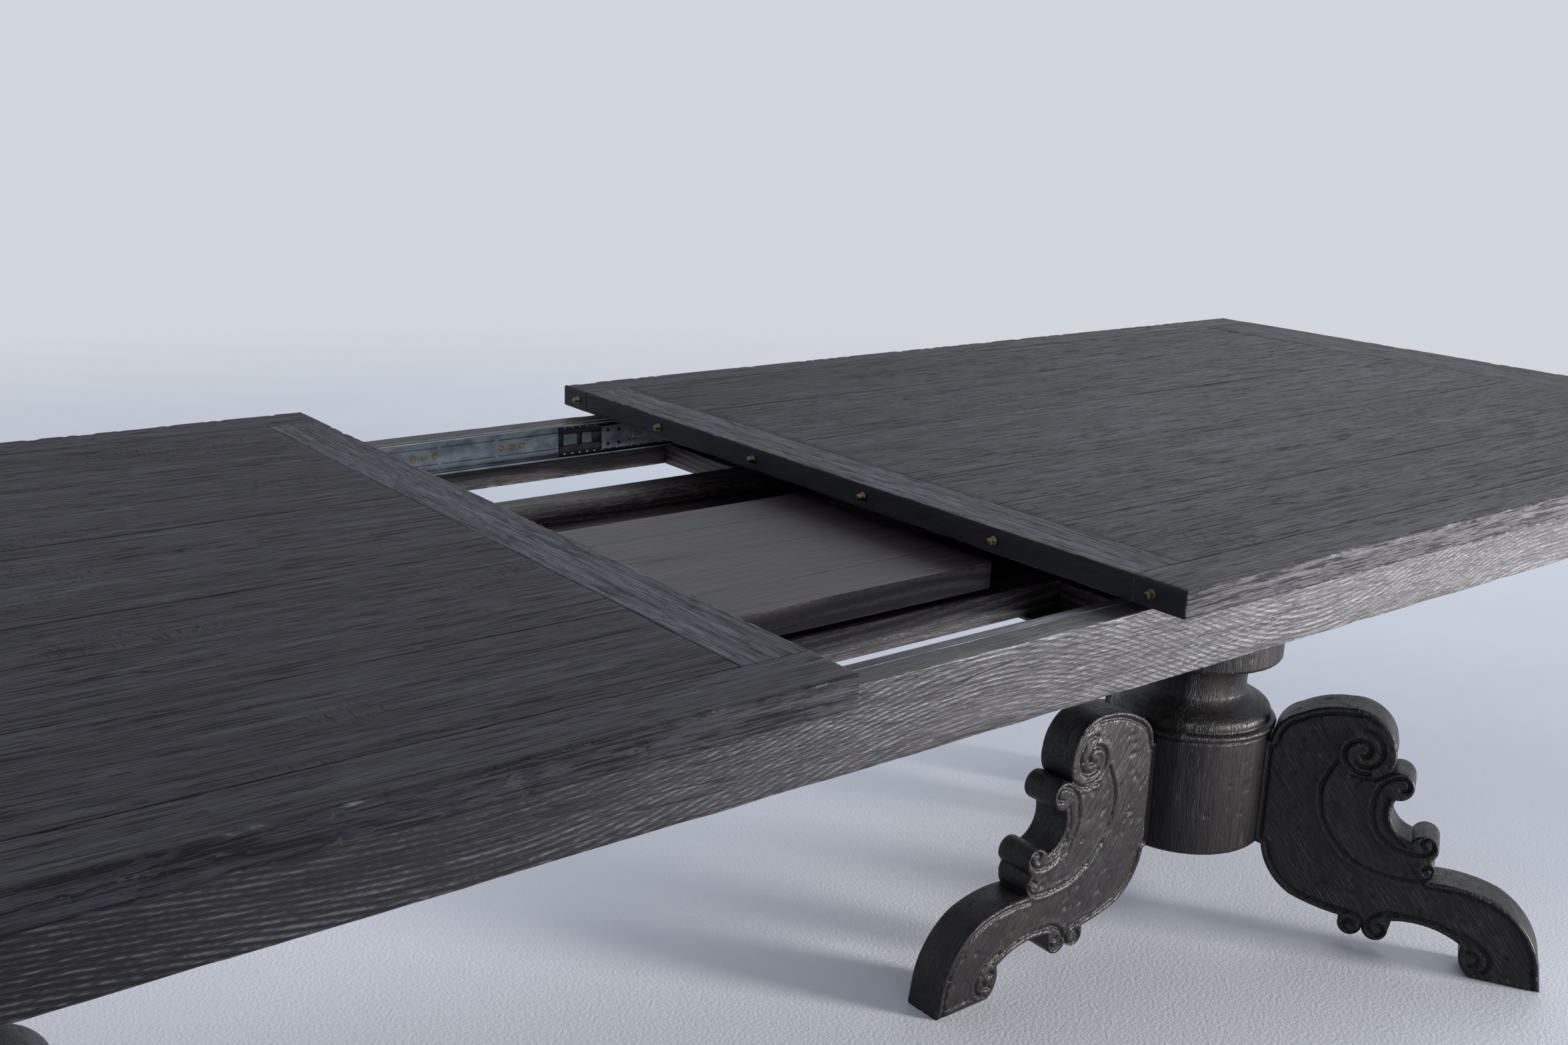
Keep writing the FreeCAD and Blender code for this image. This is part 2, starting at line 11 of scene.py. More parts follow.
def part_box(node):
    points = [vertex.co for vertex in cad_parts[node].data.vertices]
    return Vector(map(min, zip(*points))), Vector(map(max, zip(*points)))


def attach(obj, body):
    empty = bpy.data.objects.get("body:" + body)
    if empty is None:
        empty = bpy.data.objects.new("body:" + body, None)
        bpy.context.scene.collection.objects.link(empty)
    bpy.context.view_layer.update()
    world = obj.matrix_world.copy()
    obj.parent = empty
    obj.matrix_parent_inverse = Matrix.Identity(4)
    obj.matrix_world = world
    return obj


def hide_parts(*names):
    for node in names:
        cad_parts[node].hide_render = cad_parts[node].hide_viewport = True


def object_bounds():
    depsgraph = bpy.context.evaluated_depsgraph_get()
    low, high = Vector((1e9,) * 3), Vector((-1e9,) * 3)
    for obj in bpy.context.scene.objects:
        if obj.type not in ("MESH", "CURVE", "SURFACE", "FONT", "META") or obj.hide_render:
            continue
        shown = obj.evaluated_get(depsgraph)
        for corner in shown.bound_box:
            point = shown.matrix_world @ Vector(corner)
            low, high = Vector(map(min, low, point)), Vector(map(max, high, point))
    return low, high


# An extending dining table, dressed round its fixed frame. Lengths are in metres.

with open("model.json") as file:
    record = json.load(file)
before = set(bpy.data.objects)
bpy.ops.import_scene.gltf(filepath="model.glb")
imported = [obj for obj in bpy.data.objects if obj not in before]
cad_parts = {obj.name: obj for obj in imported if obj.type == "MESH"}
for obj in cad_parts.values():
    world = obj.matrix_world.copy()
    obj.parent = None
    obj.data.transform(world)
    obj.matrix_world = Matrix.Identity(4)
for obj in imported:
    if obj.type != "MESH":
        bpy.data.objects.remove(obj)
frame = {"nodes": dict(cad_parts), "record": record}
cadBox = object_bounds()
bodyOf = {node: body for body, nodes in frame["record"]["behaviour"]["bodies"].items() for node in nodes}
topBox = {"width": cadBox[1][1], "end": cadBox[1][0], "gap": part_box("right_gap_board")[0][0]}
sides = (("near", -1), ("far", 1))
halves = (("left", -1), ("right", 1))
latticeSize = 8192
latticePrimes = (374761393, 668265263, 1274126177)
randomLattice = np.random.default_rng(11).random(latticeSize)


def noise(x, y, z=0.0, seed=0):
    # Random numbers on a unit lattice, blended by 3t^2 - 2t^3 along each way, from -1 to 1
    x, y, z = np.broadcast_arrays(np.asarray(x, float), y, z)
    cells = [np.floor(v).astype(np.int64) for v in (x, y, z)]
    parts = [v - cell for v, cell in zip((x, y, z), cells)]
    parts = [part * part * (3 - 2 * part) for part in parts]
    total = np.zeros(x.shape)
    for corner in range(8):
        steps = [corner & 1, corner >> 1 & 1, corner >> 2]
        weight = 1.0
        key = np.full(x.shape, seed * 7919, np.int64)
        for cell, part, step, prime in zip(cells, parts, steps, latticePrimes):
            weight = weight * (part if step else 1 - part)
            key = key + (cell + step) * prime
        key = (key ^ key >> 13) * latticePrimes[2]
        total += weight * randomLattice[(key ^ key >> 16) & latticeSize - 1]
    return total * 2 - 1


def ramp(value, low, high):
    # 0 below low, 1 above high, smooth between
    t = np.clip((value - low) / (high - low), 0, 1)
    return t * t * (3 - 2 * t)


# Meshes

def unit(vectors):
    # Each vector over its own length
    return vectors / np.linalg.norm(vectors, axis=-1, keepdims=True)


def leftOf(directions):
    # The unit vector a quarter turn to the left of each direction in a plane
    ahead = unit(directions)
    return np.column_stack([-ahead[:, 1], ahead[:, 0]])


def circle(turns):
    # Even angles once round
    return np.arange(turns) / turns * 2 * math.pi


def gridFaces(rows, columns, start=0):
    # Quads between neighbouring rows of a grid whose rows close on themselves
    i, j = np.meshgrid(np.arange(rows - 1), np.arange(columns), indexing="ij")
    i, j = i.ravel(), j.ravel()
    following = (j + 1) % columns
    return np.stack([i * columns + j, i * columns + following,
                     (i + 1) * columns + following, (i + 1) * columns + j], axis=1) + start


def closedFaces(rows, columns):
    # The quads, and one face over each end row
    first = np.arange(columns)[None, ::-1]
    last = np.arange(columns)[None, :] + (rows - 1) * columns
    return [gridFaces(rows, columns), first, last]


def meshOf(name, parts):
    # Joins parts, each a dictionary of points, faces and any point attributes, into one mesh
    points = np.concatenate([part["points"] for part in parts])
    faces, start = [], 0
    for part in parts:
        faces += [group + start for group in part["faces"]]
        start += len(part["points"])
    totals = np.concatenate([np.full(len(group), group.shape[1]) for group in faces])
    corners = np.concatenate([group.ravel() for group in faces])
    mesh = bpy.data.meshes.new(name)
    mesh.vertices.add(len(points))
    mesh.vertices.foreach_set("co", points.astype(np.float32).ravel())
    mesh.loops.add(len(corners))
    mesh.loops.foreach_set("vertex_index", corners.astype(np.int32))
    mesh.polygons.add(len(totals))
    mesh.polygons.foreach_set("loop_start", (np.cumsum(totals) - totals).astype(np.int32))
    mesh.polygons.foreach_set("use_smooth", np.full(len(totals), True))
    for key in ("grain", "wear", "dirtAndShade", "rings", "outer"):
        if key in parts[0]:
            kind, field = ("FLOAT_VECTOR", "vector") if key == "grain" else ("FLOAT", "value")
            layer = mesh.attributes.new(key, kind, "POINT")
            values = np.concatenate([part[key] for part in parts])
            layer.data.foreach_set(field, values.astype(np.float32).ravel())
    mesh.update(calc_edges=True)
    return mesh


def assemble(name, parts, finish, body, replaced=()):
    # One piece of joined parts that rides on a body
    mesh = meshOf(name, parts)
    mesh.materials.append(finish)
    piece = bpy.data.objects.new(name, mesh)
    bpy.context.scene.collection.objects.link(piece)
    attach(piece, body)
    if replaced:
        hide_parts(*replaced)
    return piece


def roundedLoop(halfB, halfC, radii, steps, turns=4):
    # Round a rectangle: straight sides at their own steps, quarter circles at the corners.
    # Sides and corners come in the order low, right, high, left.
    loops = []
    for side in range(4):
        angle = math.pi / 2 * (side - 1)
        ahead = np.array([math.cos(angle + math.pi / 2), math.sin(angle + math.pi / 2)])
        outward = np.array([math.cos(angle), math.sin(angle)])
        reach, rise = (halfB, halfC) if side % 2 == 0 else (halfC, halfB)
        length = 2 * reach - radii[side - 1] - radii[side]
        count = max(2, round(length / steps[side]))
        s = np.arange(count) / count * length
        straight = (s - reach + radii[side - 1])[:, None] * ahead + outward * rise
        fromArris = np.minimum(s, length - s)
        loops.append(np.column_stack([straight, np.tile(outward, (count, 1)), fromArris]))
        bend = angle + np.arange(turns) / turns * math.pi / 2
        rim = np.column_stack([np.cos(bend), np.sin(bend)])
        centre = ahead * (reach - radii[side]) + outward * (rise - radii[side])
        loops.append(np.column_stack([centre + rim * radii[side], rim, np.zeros(turns)]))
    return np.concatenate(loops)


# The flat ring between a board's end face and the arris round it
capInset = .003


def board(low, high, along, radii, steps, stepAlong, relief=None, seed=0, rings=None, endRadius=None):
    # A rounded rectangle carried along a straight path and drawn in at both ends.
    # The relief moves each point along its outward normal.
    low, high = np.array(low, float), np.array(high, float)
    ways = [along, (along + 1) % 3, (along + 2) % 3]
    middle, half = ((low + high) / 2)[ways], ((high - low) / 2)[ways]
    radii = [radii] * 4 if np.isscalar(radii) else radii
    steps = [steps] * 4 if np.isscalar(steps) else steps
    loop = roundedLoop(half[1], half[2], radii, steps)
    endRound = min(endRadius or min(radii), half[0] / 2)
    turn = np.linspace(0, math.pi / 2, 4)
    inner = min(endRound + capInset, half[1] * .8, half[2] * .8)
    length = half[0] * 2
    count = max(2, round(length / stepAlong))
    run = np.linspace(endRound, length - endRound, count + 1)[1:-1]
    ends = endRound * (1 - np.cos(turn))
    draws = endRound * (1 - np.sin(turn))
    place = np.concatenate([[0], ends, run, length - ends[::-1], [length]])
    drawn = np.concatenate([[inner], draws, run * 0, draws[::-1], [inner]])
    a = (place - half[0])[:, None] + 0 * loop[None, :, 0]
    b = loop[None, :, 0] * (1 - drawn[:, None] / half[1])
    c = loop[None, :, 1] * (1 - drawn[:, None] / half[2])
    fromArris = np.minimum(loop[None, :, 4] + 0 * a, np.minimum(place, length - place)[:, None])
    places = (a + middle[0], b + middle[1], c + middle[2])
    if relief is not None:
        inOrder = [places[ways.index(way)] for way in range(3)]
        depth = relief(*places, fromArris, loop[None, :, 2:4], seed, inOrder)
        depth = depth * (drawn < inner)[:, None]
        b, c = b + loop[None, :, 2] * depth, c + loop[None, :, 3] * depth
    local = np.stack([a, b, c], axis=2)
    points = np.zeros(local.shape)
    points[:, :, ways] = local + middle
    rows, columns = a.shape
    shift = np.random.default_rng(seed + 500).random(3) * (9, 3, 3)
    part = {"points": points.reshape(-1, 3),
            "faces": closedFaces(rows, columns),
            "grain": (local + shift).reshape(-1, 3),
            "wear": np.exp(-fromArris / .004).ravel(), "fromArris": fromArris.ravel()}
    if rings is not None:
        part["rings"] = rings(*places, seed).ravel()
        # Sideways out of the table: 1 on the board's outer face, 0 on its top, bottom and inner face
        facing = sum(loop[:, column] * np.sign(centre) for column, way, centre in
                     ((2, ways[1], middle[1]), (3, ways[2], middle[2])) if way != 2)
        part["outer"] = np.tile(np.clip(facing, 0, 1), rows)
    return part


def solidBoxes(node):
    # The box of each separate solid in a node, found on a welded copy
    copy = bmesh.new()
    copy.from_mesh(frame["nodes"][node].data)
    bmesh.ops.remove_doubles(copy, verts=copy.verts, dist=1e-5)
    boxes, seen = [], set()
    for vertex in copy.verts:
        if vertex in seen:
            continue
        island, edge = {vertex}, [vertex]
        while edge:
            near = {e.other_vert(v) for v in edge for e in v.link_edges} - island
            island |= near
            edge = list(near)
        seen |= island
        corners = np.array([v.co for v in island])
        boxes.append((corners.min(0), corners.max(0)))
    copy.free()
    return boxes


def revolve(profile, centre, turns, relief=None, closed=True, first=0.0):
    # A profile of (radius, height) carried round a vertical axis from a first angle
    angle = circle(turns) + first
    radius, height = profile[:, 0][:, None], profile[:, 1][:, None]
    if relief is not None:
        radius = radius + relief(radius, angle[None, :], height)
    x, y = radius * np.cos(angle), radius * np.sin(angle)
    z = height + 0 * x
    points = np.stack([x, y, z], axis=2)
    rows = len(profile)
    faces = closedFaces(rows, turns) if closed else [gridFaces(rows, turns)]
    grain = np.stack([z, angle[None, :] * .113 + 0 * z, radius + 0 * x], axis=2)
    return {"points": (points + centre).reshape(-1, 3), "faces": faces, "grain": grain.reshape(-1, 3)}


def arcPoints(start, middle, end, step):
    # Points after the start on the circle through three points
    (ax, ay), (bx, by), (cx, cy) = start, middle, end
    twice = 2 * (ax * (by - cy) + bx * (cy - ay) + cx * (ay - by))
    a2, b2, c2 = ax * ax + ay * ay, bx * bx + by * by, cx * cx + cy * cy
    centre = np.array([(a2 * (by - cy) + b2 * (cy - ay) + c2 * (ay - by)) / twice,
                       (a2 * (cx - bx) + b2 * (ax - cx) + c2 * (bx - ax)) / twice])
    spokes = [np.array(p) - centre for p in (start, middle, end)]
    angles = [math.atan2(spoke[1], spoke[0]) for spoke in spokes]
    radius = math.hypot(*spokes[0])
    full = 2 * math.pi
    sweep, halfway = (angles[2] - angles[0]) % full, (angles[1] - angles[0]) % full
    if halfway > sweep:
        sweep -= full
    count = max(2, math.ceil(abs(sweep) * radius / step))
    at = angles[0] + sweep * np.arange(1, count + 1) / count
    return centre + radius * np.column_stack([np.cos(at), np.sin(at)])


def outlinePoints(start, strokes, step):
    # An outline of arcs, each a middle and an end, and of straight strokes, each an end
    points = [np.array([start])]
    for stroke in strokes:
        last = points[-1][-1]
        if len(stroke) == 2:
            points.append(arcPoints(last, *stroke, step))
        else:
            count = max(1, round(math.dist(last, stroke[0]) / step))
            share = np.arange(1, count + 1)[:, None] / count
            points.append(last + (np.array(stroke[0]) - last) * share)
    return np.concatenate(points)


# Finishes

class Wire:
    # A node's output, on which arithmetic adds Math nodes
    def __init__(self, finish, socket):
        self.finish, self.socket = finish, socket

    def math(self, operation, *others):
        inputs = {number: value for number, value in enumerate((self, *others))}
        return self.finish.node("Math", {"operation": operation}, inputs)

    def __add__(self, other):
        return self.math("ADD", other)

    def __mul__(self, other):
        return self.math("MULTIPLY", other)

    def __sub__(self, other):
        return self.math("SUBTRACT", other)

    def __rsub__(self, other):
        return self.finish.node("Math", {"operation": "SUBTRACT"}, {0: other, 1: self})

    __radd__, __rmul__ = __add__, __mul__

    def between(self, low, high):
        # 0 below low, 1 above high, smooth between
        return self.finish.node("MapRange", {"interpolation_type": "SMOOTHSTEP"},
                                {0: self, 1: low, 2: high, 3: 0.0, 4: 1.0})


class Finish:
    # A material whose nodes all come from one method
    def __init__(self, name, constants):
        self.material = bpy.data.materials.new(name)
        self.material.use_nodes = True
        self.tree = self.material.node_tree
        self.shader = self.tree.nodes["Principled BSDF"]
        for key, value in constants.items():
            self.shader.inputs[key].default_value = value

    def node(self, kind, settings=None, inputs=None, output=0):
        # Adds a node, makes its settings, then links or sets its sockets
        made = self.tree.nodes.new("ShaderNode" + kind)
        for key, value in (settings or {}).items():
            setattr(made, key, value)
        for key, value in (inputs or {}).items():
            self.join(value, made.inputs[key])
        return Wire(self, made.outputs[output])

    def join(self, value, socket):
        # Links a wire to a socket, or sets a plain value on it
        if isinstance(value, Wire):
            self.tree.links.new(value.socket, socket)
        else:
            socket.default_value = value

    def mix(self, share, first, second, how="MIX"):
        first, second = [(*c, 1.0) if isinstance(c, tuple) else c for c in (first, second)]
        return self.node("Mix", {"data_type": "RGBA", "blend_type": how}, {0: share, 6: first, 7: second}, 2)

    def scaled(self, vector, factors):
        return self.node("VectorMath", {"operation": "MULTIPLY"}, {0: vector, 1: factors})

    def value(self, name):
        # A number that the mesh holds at each point
        return self.node("Attribute", {"attribute_name": name}, output=2)

    def axis(self, vector, number):
        return self.node("SeparateXYZ", {}, {0: vector}, number)

    def speckle(self, vector, factors, detail=2.0, rough=.5):
        # Noise on a stretched vector, from 0 to 1
        return self.node("TexNoise", {}, {"Vector": self.scaled(vector, factors), "Scale": 1.0,
                                          "Detail": detail, "Roughness": rough})

    def finish(self, colour, roughness, height, distance, strength):
        bump = self.node("Bump", {}, {"Height": height, "Distance": distance, "Strength": strength})
        for value, key in ((colour, "Base Color"), (roughness, "Roughness"), (bump, "Normal")):
            self.join(value, self.shader.inputs[key])
        return self.material


woodLooks = {
    "top_wood": {"dark": (.0062, .0053, .0070), "middle": (.0400, .0358, .0447), "light": (.097, .0905, .110),
                 "worn": (.19, .185, .205), "gapFace": True, "marks": .5, "pits": .9, "streaks": .85,
                 "pores": .45, "rough": .62, "shine": .26, "bump": 1.2},
    "gap_wood": {"dark": (.010, .0090, .0115), "middle": (.082, .079, .093), "light": (.19, .186, .215),
                 "worn": (.22, .22, .24), "gapFace": True, "pits": .5, "streaks": .6, "pores": .9,
                 "rough": .62, "shine": .26, "bump": 1.2},
    "apron_wood": {"dark": (.0070, .0050, .0060), "middle": (.037, .0315, .0375), "light": (.142, .137, .163),
                   "worn": (.24, .24, .27), "inner": (.050, .0350, .0325), "ringed": .46, "pits": .8,
                   "streaks": .6, "pores": .6, "rough": .46, "shine": .40, "bump": .5},
    "edge_wood": {"dark": (.0060, .0050, .0068), "middle": (.039, .0350, .0440), "light": (.104, .098, .118),
                  "worn": (.24, .24, .27), "gapFace": True, "pits": .8, "streaks": .85, "pores": .45,
                  "rough": .60, "shine": .28, "bump": 1.2},
    "leaf_wood": {"dark": (.015, .0102, .0118), "middle": (.031, .0230, .0265), "light": (.046, .0355, .0405),
                  "worn": (.10, .09, .095), "pitch": .012, "ringed": .2, "upright": .75, "pits": .1,
                  "streaks": .15, "pores": .1, "rough": .38, "shine": .35, "bump": .25},
    "tray_wood": {"dark": (.0110, .0075, .0077), "middle": (.050, .0360, .0372),
                  "light": (.092, .0695, .0725), "worn": (.16, .13, .125), "pitch": .009, "ringed": .35,
                  "upright": .6, "pits": .3, "streaks": .3, "pores": .2,
                  "rough": .38, "shine": .45, "bump": .5},
    "pedestal_wood": {"dark": (.0011, .0008, .0009), "middle": (.0085, .0062, .0070),
                      "light": (.034, .0260, .0285), "worn": (.15, .135, .145), "patch": (.028, .0170, .0135),
                      "pits": .75, "streaks": .8, "pores": .5, "nicks": .9,
                      "rough": .38, "shine": .34, "bump": 1.0},
}
# The painted shade on the faces that meet in the gap, and how far past the gap it fades
gapShade = {"colour": (.0095, .009, .0125), "share": .94, "full": .0020, "none": .0040}


def woodFinish(name, look):
    # Noises stretched along the grain give a tone that runs from dark to light.
    # Slow shade, worn arrises, hollows, and dirt mixed with painted shade are laid over it, and the bump
    # sinks the hollows.
    wood = Finish(name, {"Specular IOR Level": look["shine"]})
    place = wood.node("Attribute", {"attribute_name": "grain"}, output=1)
    wear, dirtAndShade = wood.value("wear"), wood.value("dirtAndShade")
    # The grain wanders: a slow noise shifts it across itself
    sway = wood.speckle(place, (1.6, 9, 9), 2.0) - .5
    swayVector = wood.node("CombineXYZ", {}, {1: sway * .016, 2: sway * .011})
    grain = wood.node("VectorMath", {"operation": "ADD"}, {0: place, 1: swayVector})
    broad = wood.speckle(grain, (1.1, 14, 14), 3.0)
    middle = wood.speckle(grain, (5, 120, 120), 4.0, .6)
    fine = wood.speckle(grain, (22, 900, 900), 3.0, .6)
    dash = wood.speckle(grain, (95, 330, 330), 2.0)
    tone = middle * .55 + fine * .45
    # 1 on faces that lie level, 0 on upright ones
    normal = wood.node("NewGeometry", output=1)
    level = wood.axis(normal, 2).math("ABSOLUTE").between(.3, .7)
    if "ringed" in look:
        # Growth rings, carried by the piece or as level lines of a slow noise added to the distance across
        cycles = wood.value("rings")
        if "pitch" in look:
            across = wood.axis(place, 1) + wood.axis(place, 2)
            drift = wood.speckle(place, (1.6, 6, 6), 2.0) * .08 + wood.speckle(place, (5, 40, 40), 1.0) * .006
            cycles = (across + drift) * (1 / look["pitch"])
        rings = (cycles * (2 * math.pi)).math("SINE") * .5 + .5
        strokes = wood.speckle(grain, (170, 420, 420), 2.0)
        broken = (strokes * .9 + fine * .5 + middle * .7).between(.80, 1.30)
        share = look["ringed"]
        if "inner" in look:
            outer = wood.value("outer")
            share = outer * (wood.speckle(grain, (2.2, 11, 11), 2.0).between(.36, .58) * .55 + .45) * share
        if "upright" in look:
            # The figure stands out on the faces that stand upright
            share = level * (share - look["upright"]) + look["upright"]
        tone = tone * (1 - share) + rings * (broken * .7 + .3) * share
    clusters = wood.speckle(grain, (4, 20, 20), 2.0).between(.45, .62)
    pits = wood.speckle(grain, (26, 210, 210), 2.0).between(.60, .70) * clusters
    streaks = wood.speckle(grain, (15, 430, 430), 2.0, .6).between(.55, .66) * look["streaks"]
    pores = wood.speckle(grain, (38, 1100, 1100), 1.0).between(.60, .68) * look["pores"]
    crackLine = (wood.speckle(grain, (1.7, 34, 34), 2.0) - .5).math("ABSOLUTE")
    cracks = (1 - crackLine.between(.0, .012)) * wood.speckle(grain, (5, 12, 12), 1.0).between(.5, .6)
    hollow = pits * look["pits"]
    for deeper in (cracks * .9, pores, streaks):
        hollow = hollow.math("MAXIMUM", deeper)
    colour = wood.mix(tone.between(.28, .56), look["dark"], look["middle"])
    colour = wood.mix(tone.between(.48, .78), colour, look["light"])
    if "inner" in look:
        # The inner face is plain, and the level ones are darker
        plain = wood.mix(middle.between(.35, .65), look["dark"], look["inner"])
        plain = wood.mix(level * .8, plain, look["dark"])
        colour = wood.mix(outer, plain, colour)
    if "patch" in look:
        colour = wood.mix(wood.speckle(grain, (3, 24, 24), 2.0).between(.54, .72) * .5, colour, look["patch"])
    shade = wood.node("CombineColor", {}, {number: broad * .9 + .5 for number in range(3)})
    colour = wood.mix(1.0, colour, shade, "MULTIPLY")
    scuffs = (wear * (dash * .9 + fine * .9)).between(.80, 1.15)
    colour = wood.mix(scuffs * .6, colour, look["worn"])
    # Hollows and the mesh's dirt-and-shade value turn dark: dirt in the top's seams, a painted shadow line
    # along its long arrises, and darker carved grooves and sawn bands on the legs
    colour = wood.mix(hollow.math("MAXIMUM", dirtAndShade * .9), colour, look["dark"])
    if "marks" in look:
        # Dark cuts across the grain, in rare clusters
        groups = wood.speckle(place, (5, 9, 9), 1.0).between(.60, .68)
        marks = wood.speckle(place, (300, 75, 75), 1.0).between(.57, .64) * groups
        colour = wood.mix(marks * look["marks"], colour, look["dark"])
        hollow = hollow.math("MAXIMUM", marks * look["marks"])
    if "nicks" in look:
        # Short bright scratches in clusters: painted glints of dents catching the light
        nicks = wood.speckle(place, (150, 240, 240), 1.0).between(.73, .78) * clusters
        colour = wood.mix(nicks * look["nicks"], colour, look["worn"])
    relief = tone * .55 + hollow * -1.0 + fine * .25
    roughness = hollow * .25 + tone * -.18 + (look["rough"] + .09)
    if look.get("gapFace"):
        # The faces that meet in the gap are planed smooth and painted near black as shade
        facing = wood.axis(normal, 0).math("ABSOLUTE").between(.6, .9)
        spot = wood.node("TexCoord", output=3)
        full, none = topBox["gap"] + gapShade["full"], topBox["gap"] + gapShade["none"]
        smooth = facing * (1 - wood.axis(spot, 0).math("ABSOLUTE").between(full, none))
        colour = wood.mix(smooth * gapShade["share"], colour, gapShade["colour"])
        relief = relief * (1 - smooth * .85)
    return wood.finish(colour, roughness, relief, .0009, look["bump"])


# The colour painted as shade in the sheets' pressed creases and round the heads' rims
metalShade = (.03, .032, .036)
metalLooks = {
    "slide_zinc": {"dark": (.20, .235, .255), "light": (.50, .555, .59), "rough": .33, "metal": .9,
                   "upwardDarkening": (.020, .018, .023)},
    "cage_steel": {"dark": (.012, .013, .016), "light": (.05, .053, .06), "rough": .42, "metal": .6},
    "ball_steel": {"dark": (.45, .47, .5), "light": (.75, .77, .8), "rough": .18, "metal": 1.0},
    "screw_brass": {"dark": (.20, .15, .06), "light": (.60, .50, .26), "rough": .30, "metal": 1.0},
    "brass": {"dark": (.05, .040, .020), "light": (.27, .225, .125), "rough": .34, "metal": 1.0},
    "bolt_steel": {"dark": (.16, .165, .17), "light": (.42, .43, .45), "rough": .36, "metal": 1.0},
}


def metalFinish(name, look):
    # Fine drawn lines and a soft cloud run from dark to light, with dark spots and the painted shade that the
    # mesh's own value asks for
    metal = Finish(name, {"Metallic": look["metal"]})
    place = metal.node("TexCoord", output=3)
    drawn = metal.speckle(place, (60, 1500, 1500), 3.0)
    cloud = metal.speckle(place, (45, 60, 60), 3.0)
    spots = metal.speckle(place, (420, 420, 420), 2.0).between(.6, .72)
    colour = metal.mix((drawn * .35 + cloud * .8).between(.35, .85), look["dark"], look["light"])
    colour = metal.mix(spots * .5, colour, look["dark"])
    # Painted shade along the pressed creases and round the heads' rims, where the mesh's value asks for it
    colour = metal.mix(metal.value("dirtAndShade") * .8, colour, metalShade)
    roughness = cloud * .22 + drawn * .12 + (look["rough"] - .12)
    if "upwardDarkening" in look:
        # The faces that look up are darker
        normal = metal.node("NewGeometry", output=1)
        up = metal.axis(normal, 2).between(.5, .9)
        colour = metal.mix(up * (cloud * .3 + .8), colour, look["upwardDarkening"])
    return metal.finish(colour, roughness, drawn * .5 + cloud * .3, .0002, .4)


finishes = {name: woodFinish(name, look) for name, look in woodLooks.items()}
finishes |= {name: metalFinish(name, look) for name, look in metalLooks.items()}
print("finishes made", len(finishes))


# The top

topLook = {"arris": .0022, "seam": .0009, "edge": .006, "chipDepth": .0011, "rutDepth": .00022,
           "pitDepth": .0009, "waveDepth": .0003}


def freeEdge(x, y):
    # True near the top's own edges and at the gap, false where one board meets another
    x, y, near = np.abs(x), np.abs(y), topLook["edge"]
    return (y > topBox["width"] - near) | (x > topBox["end"] - near) | (x < topBox["gap"] + near)


def topArrises(low, high, along):
    # The radius at each corner of a board's section: wide on the free edges, fine where boards meet
    spots = ((low[0], 0), (high[0], 0)) if along else ((.5, low[1]), (.5, high[1]))
    first, last = [topLook["arris"] if freeEdge(x, y) else topLook["seam"] for x, y in spots]
    return (first, last, last, first) if along else (last, last, first, first)


def topRelief(a, b, c, fromArris, outward, seed, at):
    # Ruts along the grain, slow waves, pits in clusters, and an arris worn in a wavy line
    ruts = noise(a * 8, b * 170, c * 170, seed) * topLook["rutDepth"]
    waves = noise(a * 3, b * 16, c * 16, seed + 1) * topLook["waveDepth"]
    clusters = ramp(noise(a * 4, b * 18, 0, seed + 2), -.1, .4)
    pits = ramp(noise(a * 26, b * 120, c * 120, seed + 3), .45, .75) * clusters
    worn = np.exp(-fromArris / .003) * (.25 + .75 * freeEdge(at[0], at[1]))
    chips = .6 * ramp(noise(a * 30, b * 8, c * 8, seed + 4), .3, .9)
    chips = chips + ramp(noise(a * 130, 0, 0, seed + 5), .35, .8)
    return ruts + waves - pits * topLook["pitDepth"] - worn * chips * topLook["chipDepth"] - .0004


def edgeRelief(a, b, c, fromArris, outward, seed, at):
    # As the top, with upright chisel marks on the side that faces out
    side = np.abs(outward[..., 0])
    chiselled = ramp(noise(a * 5.5, 0, 0, seed + 9), .15, .5)
    marks = noise(a * 210, b * 0, c * 22, seed + 6) * .0003 + noise(a * 75, 0, c * 30, seed + 7) * .0003
    marks = marks * chiselled
    lines = noise(a * 9, b * 300, c * 300, seed + 10) * .0002
    nicks = ramp(noise(a * 130, b * 60, c * 70, seed + 8), .62, .85) * .0012
    return topRelief(a, b, c, fromArris, outward, seed, at) + side * (marks + lines - nicks)


topBoards = {
    "edge_board": {"along": 0, "relief": edgeRelief, "finish": "edge_wood", "stepAlong": .005,
                   "steps": (.012, .0014, .0028, .0014)},
    "gap_board": {"along": 1, "relief": topRelief, "finish": "gap_wood", "stepAlong": .008,
                  "steps": (.004, .0024, .004, .012)},
    "end_board": {"along": 1, "relief": topRelief, "finish": "top_wood", "stepAlong": .008,
                  "steps": (.004, .003, .004, .012)},
    "field_planks": {"along": 0, "relief": topRelief, "finish": "top_wood", "stepAlong": .012,
                     "steps": (.03, .009, .0026, .009)},
    "battens": {"along": 1, "relief": None, "finish": "tray_wood", "stepAlong": .04, "steps": .01},
    "runner": {"along": 0, "relief": None, "finish": "tray_wood", "stepAlong": .04, "steps": .01},
}
# The field's planks: where their seams lie, as shares of the field's width
seamShares = (-.5, -.336, -.118, .106, .317, .5)


def plankBoxes(low, high):
    # The field's box, cut across its width at the shares of the seams
    across = high[1] - low[1]
    middle = (high[1] + low[1]) / 2
    for start, end in zip(seamShares, seamShares[1:]):
        yield (low[0], middle + across * start, low[2]), (high[0], middle + across * end, high[2])


